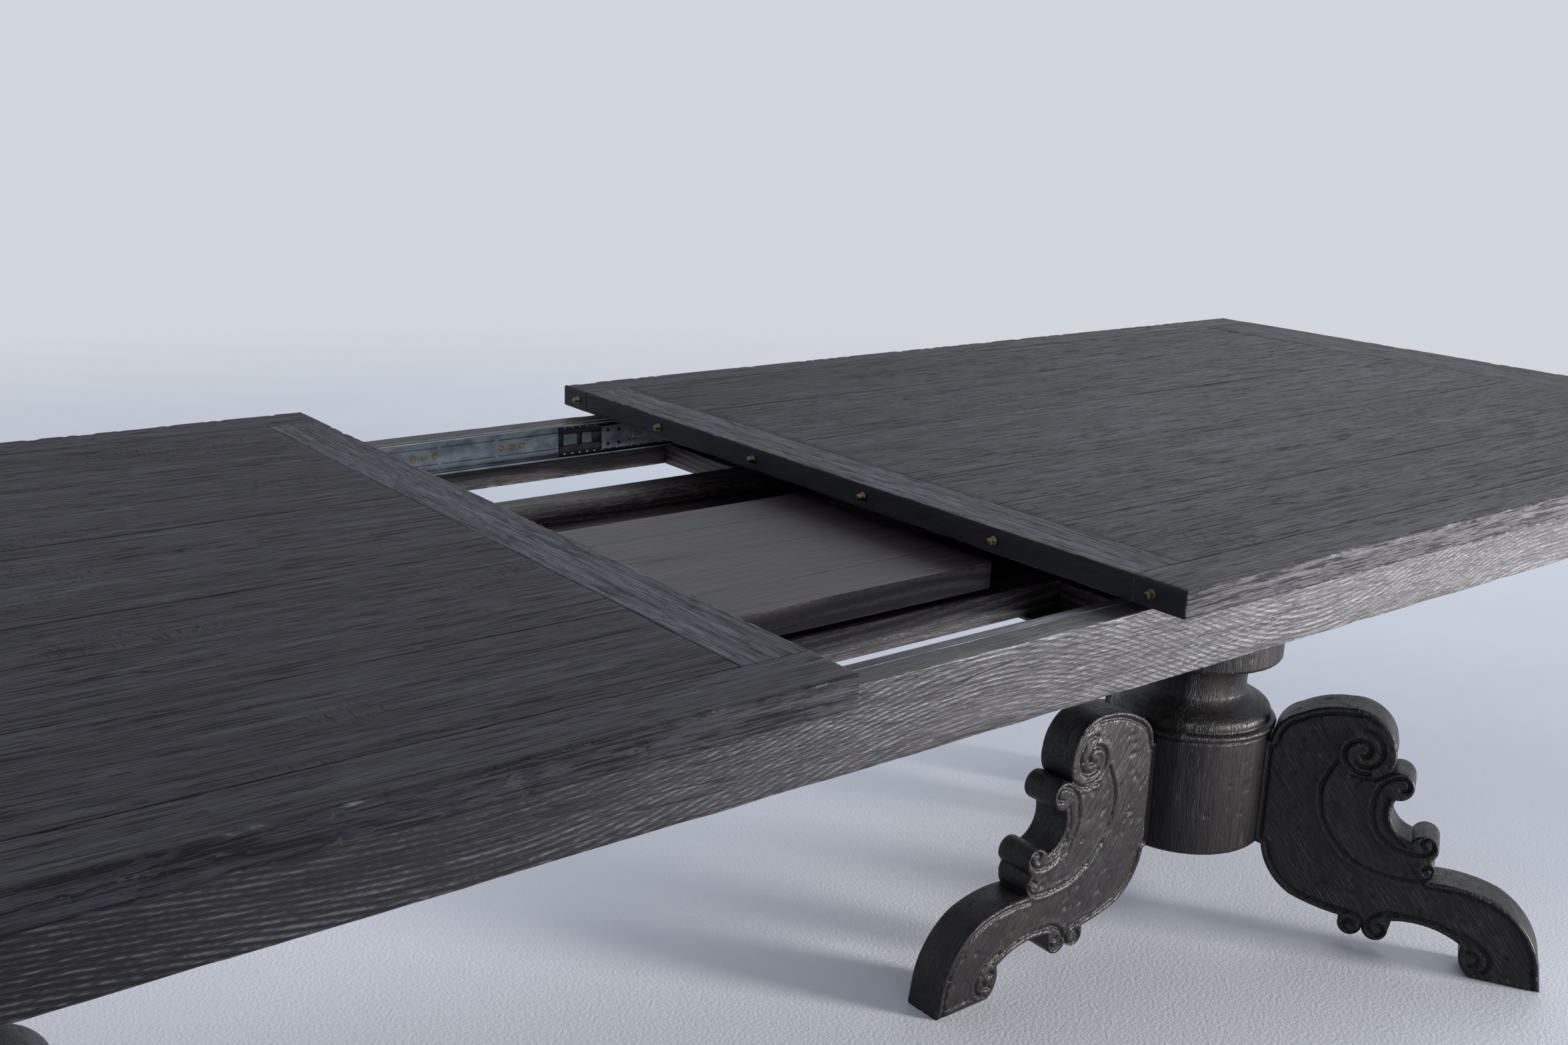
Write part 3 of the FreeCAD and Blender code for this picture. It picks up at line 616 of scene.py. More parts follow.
def splitWear(part):
    # Free arrises are chipped bright in places; along the long sides they are painted dark between the chips,
    # a painted shadow line along the arris.
    # Those that meet another board hold broken dirt.
    x, y = part["points"][:, 0], part["points"][:, 1]
    free = freeEdge(x, y)
    long = np.abs(y) > topBox["width"] - topLook["edge"]
    chipped = np.where(long, ramp(noise(x * 45, y * 45, 0, 16), .2, .7), 1)
    broken = ramp(noise(x * 14, y * 14, 0, 15), -.35, .5) * .7 + .2
    held = np.where(free, long * (1 - chipped) * .75, broken)
    return part["wear"] * free * chipped, np.exp(-part["fromArris"] / .0011) * held


def dressBoards(nodes, spec, slotName):
    # One rounded board for each solid of a node, over the solid's own box
    for node in nodes:
        boxes = solidBoxes(node)
        if node.endswith("field_planks") and len(boxes) == 1:
            boxes = list(plankBoxes(*boxes[0]))
        parts = []
        for index, (low, high) in enumerate(boxes):
            onTop = spec["relief"] in (topRelief, edgeRelief)
            arris = topArrises(low, high, spec["along"]) if onTop else spec.get("arris", topLook["arris"])
            endRadius = topLook["arris"] if spec["relief"] is edgeRelief else None
            parts.append(board(low, high, spec["along"], arris, spec["steps"], spec["stepAlong"],
                               spec["relief"], sum(map(ord, node)) + index, spec.get("rings"), endRadius))
            if slotName == "top_wood":
                parts[-1]["wear"], parts[-1]["dirtAndShade"] = splitWear(parts[-1])
        assemble(node + "_wood", parts, finishes[spec["finish"]], bodyOf[node], [node])


def dressKind(kind, spec, slotName):
    # Dresses every node whose name ends in the kind
    nodes = [node for node in frame["nodes"] if node.endswith(kind)]
    dressBoards(nodes, spec, slotName)
    print("dressed", kind, len(nodes))


for kind, spec in topBoards.items():
    dressKind(kind, spec, "top_wood")


# The fixed frame

apronLook = {"pitch": .0050, "ridge": .00013, "arris": .0016, "lip": .0007, "sweep": .10, "bunch": .0035}


def ringCount(a, b, c, seed):
    # Growth rings cut by the saw: the distance across, moved by two slow noises, over the pitch
    sweep = noise(a * 2.2, (b + c) * .9, 0, seed) * apronLook["sweep"]
    bunch = noise(a * 4, (b + c) * 26, 0, seed + 1) * apronLook["bunch"]
    return (b + c + sweep + bunch) / apronLook["pitch"]


def apronRelief(a, b, c, fromArris, outward, seed, at):
    # Ridges along the rings, broken into dashes, with a worn arris and scattered nicks
    ridges = np.sin(ringCount(a, b, c, seed) * 2 * math.pi)
    dashes = .6 + .6 * noise(a * 60, c * 240, b * 240, seed + 2)
    strength = .55 + .6 * noise(a * 4, c * 20, b * 20, seed + 5)
    worn = np.exp(-fromArris / .003) * ramp(noise(a * 26, 0, 0, seed + 3), -.2, .9)
    nicks = ramp(noise(a * 90, c * 90, b * 90, seed + 4), .66, .85) * .0008
    return ridges * dashes * strength * apronLook["ridge"] - worn * apronLook["lip"] - nicks - .0003


def softRelief(a, b, c, fromArris, outward, seed, at):
    # Slow waves of planed wood
    return noise(a * 3, b * 22, c * 22, seed) * .0003 - .0002


# What most boards of the frame share, then what a kind changes
plain = {"along": 0, "relief": softRelief, "finish": "tray_wood", "slot": "tray_wood",
         "stepAlong": .02, "arris": apronLook["arris"]}
sawn = {"relief": apronRelief, "rings": ringCount, "finish": "apron_wood", "slot": "apron_wood",
        "stepAlong": .007}
leaf = {"finish": "leaf_wood", "slot": "leaf_wood", "arris": .0005, "stepAlong": .01, "steps": .004}
thin = {"relief": None, "arris": .0008}
frameBoards = {
    "near_apron": {**sawn, "steps": (.004, .012, .004, .00095)},
    "far_apron": {**sawn, "steps": (.004, .00095, .004, .012)},
    "end_rail": {**sawn, "along": 1, "steps": (.0012, .004, .0012, .004)},
    "stub_rails": {"along": 1, "steps": .008},
    "tray_floor": {**thin, "stepAlong": .05, "steps": .02},
    "joint_plates": {**thin, "steps": .01},
    "tray_slats": {"along": 1, "steps": .008},
    "leaf_near_board": leaf,
    "leaf_far_board": leaf,
    "leaf_field": {**leaf, "steps": .006},
    "cleat": {"along": 1, "finish": "pedestal_wood", "slot": "pedestal_wood", "stepAlong": .015,
              "steps": .008},
    "near_bearer": {"stepAlong": .015, "steps": .004, "arris": (.0015, .016, .0015, .0015)},
    "far_bearer": {"stepAlong": .015, "steps": .004, "arris": (.0015, .0015, .016, .0015)},
}
for kind, spec in frameBoards.items():
    spec = plain | spec
    dressKind(kind, spec, spec["slot"])


# The pedestals

columnLook = {"radius": .113, "bottom": .139, "drumTop": .308, "neckTop": .416, "top": .633, "turns": 200,
              "core": .002, "inner": .04, "ease": .003, "step": .0022, "rutted": (.104, .112)}
# Radius as a share of the drum's, height as a share of the neck's rise
neckShares = (
    ((1, 0),), ((.985, .004),), ((.985, .018),), ((1.04, .07), (.985, .125)), ((.965, .14),),
    ((.955, .24), (.85, .325)), ((.82, .34),), ((.7, .395), (.64, .475)), ((.632, .61), (.645, .74)),
    ((.72, .88), (.9, .955)), ((.975, .962),), ((1.018, .98), (1.031, 1.03)),
)


def columnProfile():
    # Half the column's outline, (radius, height): the drum, the turned neck in shares, and the head
    radius, neck = columnLook["radius"], columnLook["neckTop"] - columnLook["drumTop"]
    bottom, top, ease = columnLook["bottom"], columnLook["top"], columnLook["ease"]
    strokes = [((columnLook["inner"], bottom),), ((radius - ease, bottom),), ((radius, bottom + ease),)]
    strokes += [tuple((radius * across, columnLook["drumTop"] + neck * up) for across, up in stroke)
                for stroke in neckShares]
    strokes += [((radius * neckShares[-1][-1][0], top),), ((columnLook["inner"], top),)]
    return outlinePoints((columnLook["core"], bottom), strokes, columnLook["step"])


def columnRelief(radius, angle, height):
    # Upright ruts on the drums, and scattered nicks
    x, y = np.cos(angle) * radius, np.sin(angle) * radius
    drum = ramp(radius, *columnLook["rutted"])
    ruts = noise(x * 150, y * 150, height * 7, 41) * .0004 + noise(x * 330, y * 330, height * 12, 42) * .0003
    nicks = ramp(noise(x * 160, y * 160, height * 90, 43), .6, .8) * .0006
    return drum * ruts - nicks * ramp(radius, .01, .05)


def dressColumn(word):
    # The profile turned about the column's axis, from the far leg on, which hides the grain's seam
    low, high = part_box(word + "_column")
    centre = np.array([(low[0] + high[0]) / 2, (low[1] + high[1]) / 2, 0])
    farLeg = math.radians(60 if centre[0] > 0 else 120)
    part = revolve(columnProfile(), centre, columnLook["turns"], columnRelief, first=farLeg)
    part["grain"] = part["grain"] + centre * 3
    part["wear"] = np.zeros(len(part["points"]))
    assemble(word + "_column_wood", [part], finishes["pedestal_wood"], "base",
             [word + "_column"])


legLook = {
    "drum": .113, "span": .394, "height": .367, "thick": .059, "foot": .092, "rootIn": .107,
    "rootLow": .143, "step": .0024, "round": .003, "cell": .0032, "bandRows": 15, "grainSlope": -52,
    "beadWide": .0072, "grooveDepth": .0040, "grooveHalf": .0022, "ground": .0009,
    # The wood swells a little on both sides of a carved line
    "swell": .0009, "swellAt": .0055, "swellHalf": .0028, "shallow": .0012,
    # Rows of points: in from the outline, beside the bead's groove, and beside a carved line
    "rimRows": (.0005, .0014, .003), "grooveRows": (-.0036, -.0018, 0, .0018, .0036),
    "lineRows": (-.0042, -.0018, 0, .0018, .0042), "apart": .0013, "clear": .0004,
    # Carved lines, each a chain of points (reach, height)
    "lines": {
        "innerC": ((.207, .287), (.198, .268), (.191, .246), (.191, .224), (.198, .197), (.212, .172),
                   (.234, .149), (.262, .134), (.298, .128), (.330, .129), (.345, .136), (.350, .147),
                   (.343, .153), (.337, .148)),
        "outerC": ((.296, .259), (.304, .261), (.305, .270), (.297, .277), (.283, .274), (.269, .262),
                   (.262, .240), (.263, .214), (.271, .192), (.288, .176), (.312, .168), (.334, .169),
                   (.346, .178), (.346, .189), (.338, .194), (.331, .188), (.335, .180)),
        "headSeam": ((.228, .268), (.248, .267), (.264, .271), (.277, .281)),
        "kneeCurl": ((.215, .0665), (.235, .0635), (.252, .0615), (.264, .056), (.269, .046), (.265, .036),
                     (.256, .031), (.246, .034), (.243, .043), (.249, .049), (.255, .045)),
        "shinCurl": ((.312, .074), (.295, .071), (.281, .062), (.275, .050), (.279, .039), (.288, .034),
                     (.296, .040), (.295, .048), (.288, .050)),
        "footCurl": ((.398, .063), (.413, .056), (.428, .046), (.438, .033), (.438, .020), (.432, .011)),
        "footEye": ((.409, .037), (.418, .036), (.424, .028), (.421, .019), (.413, .017)),
    },
    # Volute: centre, start and end angle in degrees, start and end radius in metres
    "volute": (((.239, .305), 92, -118, .034, .018), ((.239, .305), -68, -440, .032, .004)),
    # Where the rim's groove gives way to a curl: centre and radius
    "rimless": ((.252, .306, .043), (.300, .264, .026), (.338, .182, .028), (.344, .146, .016),
                (.251, .043, .024), (.288, .043, .024), (.418, .022, .027)),
}
upperShares = (
    ((.008, .82),), ((.036, .902), (.094, .948)), ((.172, .986), (.259, 1)), ((.378, .965), (.43, .861)),
    ((.433, .809), (.416, .76)), ((.505, .73), (.449, .662)), ((.444, .583), (.518, .507)),
    ((.602, .518), (.594, .444)), ((.607, .401), (.594, .357)), ((.716, .355), (.822, .327)),
    ((.937, .221), (.987, .087)), ((1, 0),),
)
lowerShares = (
    ((.726, .065), (.728, .123)), ((.622, .169), (.49, .166)), ((.482, .12),), ((.439, .071), (.393, .125)),
    ((.35, .074), (.31, .131)), ((.31, .147),), ((.211, .166), (.132, .193)), ((.058, .264), (.013, .381)),
)


def legOutline():
    # The leg's side view, (reach, height): arcs and strokes in shares of its span and height, and its root
    def at(share):
        return legLook["drum"] + legLook["span"] * share[0], legLook["height"] * share[1]

    strokes = [tuple(at(share) for share in stroke) for stroke in upperShares]
    strokes += [((legLook["drum"] + legLook["span"] - legLook["foot"], 0),)]
    strokes += [tuple(at(share) for share in stroke) for stroke in lowerShares]
    strokes += [((legLook["rootIn"], legLook["rootLow"]),)]
    start = (legLook["rootIn"], legLook["height"] * upperShares[0][0][1])
    points = outlinePoints(start, strokes, legLook["step"])
    down = np.linspace(legLook["rootLow"], start[1], 60)[1:-1]
    points = np.concatenate([points, np.column_stack([down * 0 + legLook["rootIn"], down])])
    return points[::-1]  # anticlockwise


def lineDistance(points, line, closed=False):
    # The distance of each point from the nearest segment of a line
    first = line if closed else line[:-1]
    second = np.roll(line, -1, axis=0) if closed else line[1:]
    best = np.full(len(points), 9.0)
    run = second - first
    square = (run ** 2).sum(1)
    for block in range(0, len(points), 2000):
        offset = points[block:block + 2000, None] - first[None]
        share = np.clip((offset * run).sum(2) / square, 0, 1)
        gap = offset - share[..., None] * run
        best[block:block + 2000] = np.sqrt((gap ** 2).sum(2)).min(1)
    return best


def smoothLine(corners, count=90):
    # A chain of points eased into a curve by a Catmull-Rom spline
    corners = np.array(corners)
    padded = np.concatenate([[2 * corners[0] - corners[1]], corners, [2 * corners[-1] - corners[-2]]])
    t = np.linspace(0, len(corners) - 1 - 1e-9, count)
    cell = t.astype(int)
    u = (t - cell)[:, None]
    p = [padded[cell + k] for k in range(4)]
    return .5 * (2 * p[1] + (p[2] - p[0]) * u + (2 * p[0] - 5 * p[1] + 4 * p[2] - p[3]) * u ** 2
                 + (3 * p[1] - p[0] - 3 * p[2] + p[3]) * u ** 3)


def spiralLine(centre, first, last, outer, inner, count=90):
    # A spiral whose radius shrinks steadily with its angle
    share = np.linspace(0, 1, count)
    angle = np.radians(first + (last - first) * share)
    reach = outer + (inner - outer) * share
    return np.array(centre) + reach[:, None] * np.column_stack([np.cos(angle), np.sin(angle)])


def carveDepth(points, outline, lines):
    # How far each point of a leg's face lies below its highest plane
    rim = lineDistance(points, outline, closed=True)
    within = np.maximum(legLook["round"] - rim, 0)
    rounded = legLook["round"] - np.sqrt(np.maximum(legLook["round"] ** 2 - within ** 2, 0))
    # The groove follows the sides alone: the foot's sole is taken as lying far below
    walls = outline - np.array([0, .03]) * (outline[:, 1:] < 1e-6)
    across = np.abs(lineDistance(points, walls, closed=True) - legLook["beadWide"] - legLook["grooveHalf"])
    kept = np.ones(len(points))
    for x, z, radius in legLook["rimless"]:
        kept *= ramp(np.hypot(points[:, 0] - x, points[:, 1] - z), radius - .004, radius + .003)
    groove = legLook["grooveDepth"] * np.exp(-(across / legLook["grooveHalf"]) ** 2)
    ground = legLook["ground"] * ramp(rim, legLook["beadWide"], legLook["beadWide"] + .004)
    depth = rounded + np.maximum(groove, ground) * kept
    for line in lines:
        gap = lineDistance(points, line)
        cut = legLook["grooveDepth"] * np.exp(-(gap / legLook["grooveHalf"]) ** 2)
        swell = legLook["swell"] * np.exp(-((gap - legLook["swellAt"]) / legLook["swellHalf"]) ** 2)
        depth = np.maximum(depth, cut) - swell * (cut < legLook["shallow"]) * (rim > .004)
    x, z = points[:, 0], points[:, 1]
    nicks = ramp(noise(x * 170, z * 170, 0, 51), .62, .8) * .0013 * ramp(rim, .002, .006)
    waves = noise(x * 45, z * 45, 0, 52) * .00035 + noise(x * 300, z * 110, 0, 53) * .00012
    return depth + nicks + waves * ramp(rim, 0, .004), rim, ramp(depth - rounded, .0012, .0036)


def legFace():
    # The face's points: the outline, rings inside it, rows beside each carved line and an even grid
    outline = legOutline()
    inward = leftOf(np.roll(outline, -1, axis=0) - np.roll(outline, 1, axis=0))
    lines = [smoothLine(line) for line in legLook["lines"].values()]
    lines += [spiralLine(*spiral) for spiral in legLook["volute"]]
    rings, bead = [], legLook["beadWide"] + legLook["grooveHalf"]
    for gap in (*legLook["rimRows"], *(bead + row for row in legLook["grooveRows"])):
        ring = outline + inward * gap
        rings.append(ring[lineDistance(ring, outline, closed=True) > gap * .93])
    for line in lines:
        beside = leftOf(np.gradient(line, axis=0))
        rings += [line + beside * gap for gap in legLook["lineRows"]]
    low, high = outline.min(0), outline.max(0)
    grid = np.stack(np.meshgrid(np.arange(low[0], high[0], legLook["cell"]),
                                np.arange(low[1], high[1], legLook["cell"])), axis=2).reshape(-1, 2)
    inside = np.concatenate(rings + [grid])
    _, kept = np.unique(np.round(inside / legLook["apart"]).astype(int), axis=0, return_index=True)
    inside = inside[np.sort(kept)]
    inside = inside[lineDistance(inside, outline, closed=True) > legLook["clear"]]
    count = len(outline)
    edges = [(i, (i + 1) % count) for i in range(count)]
    found = delaunay_2d_cdt(np.concatenate([outline, inside]).tolist(), edges, [], 1, 1e-7)
    return outline, np.array(found[0]), np.array(found[2]), lines, inward


def legSolid():
    # Two carved faces and the sawn band between them, standing upright in the X-Z plane
    outline, flat, triangles, lines, inward = legFace()
    depth, rim, hollow = carveDepth(flat, outline, lines)
    half = legLook["thick"] / 2
    front = np.column_stack([flat[:, 0], -(half - depth), flat[:, 1]])
    back = np.column_stack([flat[:, 0], half - depth, flat[:, 1]])
    p, q, r = (flat[triangles[:, k]] for k in range(3))
    turn = (q[:, 0] - p[:, 0]) * (r[:, 1] - p[:, 1]) - (q[:, 1] - p[:, 1]) * (r[:, 0] - p[:, 0])
    triangles[turn < 0] = triangles[turn < 0][:, ::-1]
    rows = legLook["bandRows"]
    level = np.linspace(-(half - legLook["round"]), half - legLook["round"], rows)
    swing = np.sin(np.linspace(0, math.pi, rows)) ** .3
    x, z = outline[None, :, 0], outline[None, :, 1]
    dents = noise(x * 60, z * 60, level[:, None] * 60, 61) * .0006
    dents = dents - ramp(noise(x * 150, z * 150, level[:, None] * 150, 62), .62, .8) * .001
    dents = dents * swing[:, None]
    bandX = x - inward[None, :, 0] * dents
    bandZ = z - inward[None, :, 1] * dents
    band = np.stack([bandX, level[:, None] + 0 * bandX, bandZ], axis=2).reshape(-1, 3)
    points = np.concatenate([front, back, band])
    count = len(flat)
    faces = [triangles, triangles[:, ::-1] + count, gridFaces(rows, len(outline), 2 * count)[:, ::-1]]
    wear = np.concatenate([np.exp(-rim / .003), np.exp(-rim / .003), np.zeros(len(band))])
    # The carved grooves are darker, and the sawn band a little darker all over
    dirtAndShade = np.concatenate([hollow, hollow, np.full(len(band), .3)])
    return points, faces, wear, dirtAndShade


def dressLeg(word, place, degrees, solid):
    # The leg turned about the column's axis, with the grain running down its slope
    points, faces, wear, dirtAndShade = solid
    angle = math.radians(degrees)
    cosine, sine = math.cos(angle), math.sin(angle)
    turn = np.array([[cosine, sine, 0], [-sine, cosine, 0], [0, 0, 1]])
    low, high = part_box(word + "_column")
    centre = np.array([(low[0] + high[0]) / 2, 0, 0])
    slope = math.radians(legLook["grainSlope"])
    x, z = points[:, 0], points[:, 2]
    grain = np.column_stack([x * math.cos(slope) + z * math.sin(slope),
                             z * math.cos(slope) - x * math.sin(slope), points[:, 1]])
    node = f"{word}_{place}_leg"
    shift = np.random.default_rng(sum(map(ord, node))).random(3) * 4
    part = {"points": points @ turn + centre, "faces": faces, "grain": grain + shift,
            "wear": wear, "dirtAndShade": dirtAndShade}
    piece = assemble(node + "_wood", [part], finishes["pedestal_wood"], "base", [node])
    shell = bmesh.new()
    shell.from_mesh(piece.data)
    bmesh.ops.remove_doubles(shell, verts=shell.verts, dist=2e-5)
    bmesh.ops.recalc_face_normals(shell, faces=shell.faces)
    shell.to_mesh(piece.data)
    shell.free()


legs = legSolid()
for word, half in halves:
    dressColumn(word)
    innerAngle = 180 if half > 0 else 0
    for place, degrees in (("inner", 0), ("near", 120), ("far", -120)):
        dressLeg(word, place, innerAngle + degrees * half, legs)
print("pedestals dressed")


# The slides: heights are measured from the slide's middle, depths from the apron's inner face

slideLook = {
    "apron": .456, "middle": .7145, "half": 1.320, "sheet": .0015, "depth": .012, "reach": .0225,
    "lip": .0026, "band": .0105, "press": .0003, "bend": .0012, "crease": (.0016, .0006), "creaseShadeWidth": .0008,
    "tabs": (.040, .460, .880), "screws": (.061, .481, .901), "screwPitch": .015,
}
cageLook = {
    "start": .131, "length": .430, "web": .0028, "arm": .0098, "reach": .01825, "thick": .001,
    "window": .0075, "lap": .0002, "bars": ((0, .006), (.028, .034), (.050, .430)),
    "ball": .00245, "ballDepth": .00615, "ballPitch": .0115, "balls": 36, "ballTurns": 8,
}
# A fastener's head: (radius, rise) from its rim to its middle, and a recess
headLooks = {
    "screw": {"profile": ((.0036, -.0006), (.0041, -.0003), (.0042, .0), (.0040, .0002), (.0034, .00034),
                          (.0026, .0004), (.0021, .00042), (.0017, .00043), (.0013, .00044), (.0009, .00045),
                          (.0005, .00045)), "turns": 32,
              "recessDepth": .0003, "recessArm": (.0003, .0007), "recessReach": (.0024, .0030)},
    "tab": {"profile": ((.0036, -.0004), (.0034, .0001), (.0030, .0004), (.0024, .0005), (.0014, .0004),
                        (.0004, .0003)), "turns": 20},
    "rivet": {"profile": ((.0026, -.0004), (.0026, .0003), (.0022, .0010), (.0012, .0014), (.0003, .0015)),
              "turns": 20},
    "pin": {"profile": ((.0050, -.0010), (.0051, .0004), (.0049, .0010), (.0041, .0012), (.0038, .0016),
                        (.0037, .0058), (.0034, .0068), (.0026, .0076), (.0014, .0079), (.0003, .0080)),
            "turns": 28},
    "socket": {"profile": ((.0058, -.0040), (.0058, .0105), (.0050, .0112)), "turns": 24},
}


def sheetSection(path, thick):
    # A folded sheet's outline: its middle line, eased at each bend by a parabola, moved half the
    # thickness each way
    path = np.array(path, float)
    runs, t = [path[:1]], np.linspace(0, 1, 5)[:, None]
    for before, corner, after in zip(path, path[1:], path[2:]):
        first, last = [corner + (end - corner) * min(slideLook["bend"] / math.dist(end, corner), .45)
                       for end in (before, after)]
        runs.append(first * (1 - t) ** 2 + corner * 2 * t * (1 - t) + last * t ** 2)
    line = np.concatenate(runs + [path[-1:]])
    aside = leftOf(np.gradient(line, axis=0)) * thick / 2
    return np.concatenate([line + aside, (line - aside)[::-1]])


def sweptSheet(path, thick, side, start, end):
    # A folded sheet's outline of (depth, height) carried along X beside the near (-1) or far (1) apron
    section = sheetSection(path, thick)
    y, z = (slideLook["apron"] - section[:, 0]) * side, slideLook["middle"] + section[:, 1]
    if (y * np.roll(z, -1) - z * np.roll(y, -1)).sum() < 0:
        y, z = y[::-1], z[::-1]
    stations = np.linspace(start, end, 3)
    points = np.stack(np.broadcast_arrays(stations[:, None], y[None], z[None]), axis=2).reshape(-1, 3)
    # A dark line is painted along the heights of the channel's pressed creases, as painted shade in the
    # creases
    step = (np.abs(points[:, 2] - slideLook["middle"]) - slideLook["band"]) / slideLook["creaseShadeWidth"]
    return {"points": points, "faces": closedFaces(len(stations), len(y)), "dirtAndShade": np.exp(-step ** 2)}


def head(kind, centre, axis):
    # A round head: its rise is a profile over the radius, less a recess of crossed arms
    look = headLooks[kind]
    profile = np.array(look["profile"])
    angle = circle(look["turns"])
    radius = profile[:, 0][:, None]
    u, v = radius * np.cos(angle), radius * np.sin(angle)
    rise = profile[:, 1][:, None] + 0 * u
    if "recessDepth" in look:
        arms = np.minimum(np.abs(u), np.abs(v))
        cross = (1 - ramp(arms, *look["recessArm"])) * (1 - ramp(radius, *look["recessReach"]))
        rise = rise - look["recessDepth"] * cross
    axis = np.array(axis, float)
    across = np.cross(axis, (0, 0, 1)) if abs(axis[2]) < .5 else np.array((1.0, 0, 0))
    upward = np.cross(axis, across)
    points = np.array(centre) + u[..., None] * across + v[..., None] * upward + rise[..., None] * axis
    # The outer rim is painted dark, as painted shade where the head meets the face it sits on
    rim = np.broadcast_to(radius / profile[:, 0].max() > .84, u.shape)
    return {"points": points.reshape(-1, 3), "faces": closedFaces(*u.shape), "dirtAndShade": rim.ravel() * .9}


def ball(centre):
    # Circles of latitude from one pole to the other
    tilt = np.linspace(0, math.pi, 7)[1:-1][:, None]
    angle = circle(cageLook["ballTurns"])
    x, y, z = np.broadcast_arrays(np.sin(tilt) * np.cos(angle), np.sin(tilt) * np.sin(angle), -np.cos(tilt))
    points = np.stack([x, y, z], axis=2).reshape(-1, 3)
    return {"points": points * cageLook["ball"] + centre, "faces": closedFaces(*x.shape)}


def dressChannel(word, side):
    # Lips, flanges and a web whose middle band is pressed forward
    sheet, deep, reach = slideLook["sheet"] / 2, slideLook["depth"], slideLook["reach"]
    band, forward = slideLook["band"], slideLook["sheet"] / 2 + slideLook["press"]
    wide, slight = slideLook["crease"]
    upper = [(deep - sheet, reach - slideLook["lip"]), (deep - sheet, reach - sheet), (sheet, reach - sheet),
             (sheet, band + wide), (sheet, band + slight), (forward, band - slight), (forward, band - wide)]
    path = upper + [(forward, 0)] + [(depth, -height) for depth, height in reversed(upper)]
    parts = [sweptSheet(path, slideLook["sheet"], side, -slideLook["half"], slideLook["half"])]
    seat = (slideLook["apron"] - slideLook["sheet"]) * side
    for x in slideLook["tabs"]:
        parts += [head("tab", (x * half, seat, slideLook["middle"] + up * band), (0, -side, 0))
                  for half in (-1, 1) for up in (-1, 1)]
    assemble(word + "_channel_sheet", parts, finishes["slide_zinc"], "base",
             [word + "_channel"])
    return [head("screw", ((x + slideLook["screwPitch"] * step) * half, seat - slideLook["press"] * side,
                           slideLook["middle"]), (0, -side, 0))
            for x in slideLook["screws"] for step in (-1, 0, 1) for half in (-1, 1)]


def dressCage(halfWord, half, word, side):
    # Two folded bands joined by bars, and a row of balls along each band
    node = f"{halfWord}_{word}_cage"
    start, web, thick, reach = (cageLook[key] for key in ("start", "web", "thick", "reach"))
    ends = sorted((start * half, (start + cageLook["length"]) * half))
    parts = []
    for up in (-1, 1):
        path = [(web, up * cageLook["window"]), (web, up * reach), (cageLook["arm"], up * reach)]
        parts.append(sweptSheet(path, thick, side, *ends))
    edge = cageLook["window"] + cageLook["lap"]
    for low, high in cageLook["bars"]:
        ends = sorted(((start + low) * half, (start + high) * half))
        parts.append(sweptSheet([(web, -edge), (web, edge)], thick, side, *ends))
    body = bodyOf[node]
    assemble(node + "_frame", parts, finishes["cage_steel"], body, [node])
    y = (slideLook["apron"] - cageLook["ballDepth"]) * side
    places = [(start + cageLook["ballPitch"] * (number + .5)) * half for number in range(cageLook["balls"])]
    balls = [ball((x, y, slideLook["middle"] + up * reach)) for x in places for up in (-1, 1)]
    assemble(node + "_balls", balls, finishes["ball_steel"], body, [node])


screws = []
for word, side in sides:
    screws += dressChannel(word, side)
    for halfWord, half in halves:
        dressCage(halfWord, half, word, side)
assemble("channel_screw_heads", screws, finishes["screw_brass"], "base", ["channel_screws"])
print("slides dressed")


# Pins, pressed marks on the members, and the other metalwork

pinLook = {"inset": .0385, "drop": .014}
memberLook = {"face": .4433, "rivet": (.232, -.009), "mark": (.238, .261, -.005, .008), "rise": .0004,
              "markStep": .004}


def drill(names, shapes):
    # Cuts shapes out of finished pieces
    bit = bpy.data.objects.new("socket_bit", meshOf("socket_bit", shapes))
    bpy.context.scene.collection.objects.link(bit)
    for name in names:
        piece = bpy.data.objects[name]
        cut = piece.modifiers.new("sockets", "BOOLEAN")
        cut.object, cut.operation, cut.solver = bit, "DIFFERENCE", "EXACT"
        bpy.context.view_layer.update()
        graph = bpy.context.evaluated_depsgraph_get()
        whole = piece.evaluated_get(graph)
        drilled = bpy.data.meshes.new_from_object(whole, preserve_all_data_layers=True, depsgraph=graph)
        print("drilled", name, len(piece.data.polygons), len(drilled.polygons))
        piece.modifiers.clear()
        piece.data = drilled
        drilled.set_sharp_from_angle(angle=math.radians(50))
    bpy.data.objects.remove(bit)


pinPlaces = [(y, cadBox[1][2] - pinLook["drop"])
             for y in np.linspace(-1, 1, 6) * (topBox["width"] - pinLook["inset"])]
pins = [head("pin", (topBox["gap"], *place), (-1, 0, 0)) for place in pinPlaces]
assemble("alignment_pin_heads", pins, finishes["brass"], bodyOf["alignment_pins"],
         ["alignment_pins"])
# The sockets in the left half that the pins slide into
drill([f"left_{kind}_board_wood" for kind in ("gap", "near_edge", "far_edge")],
      [head("socket", (-topBox["gap"], *place), (-1, 0, 0)) for place in pinPlaces])

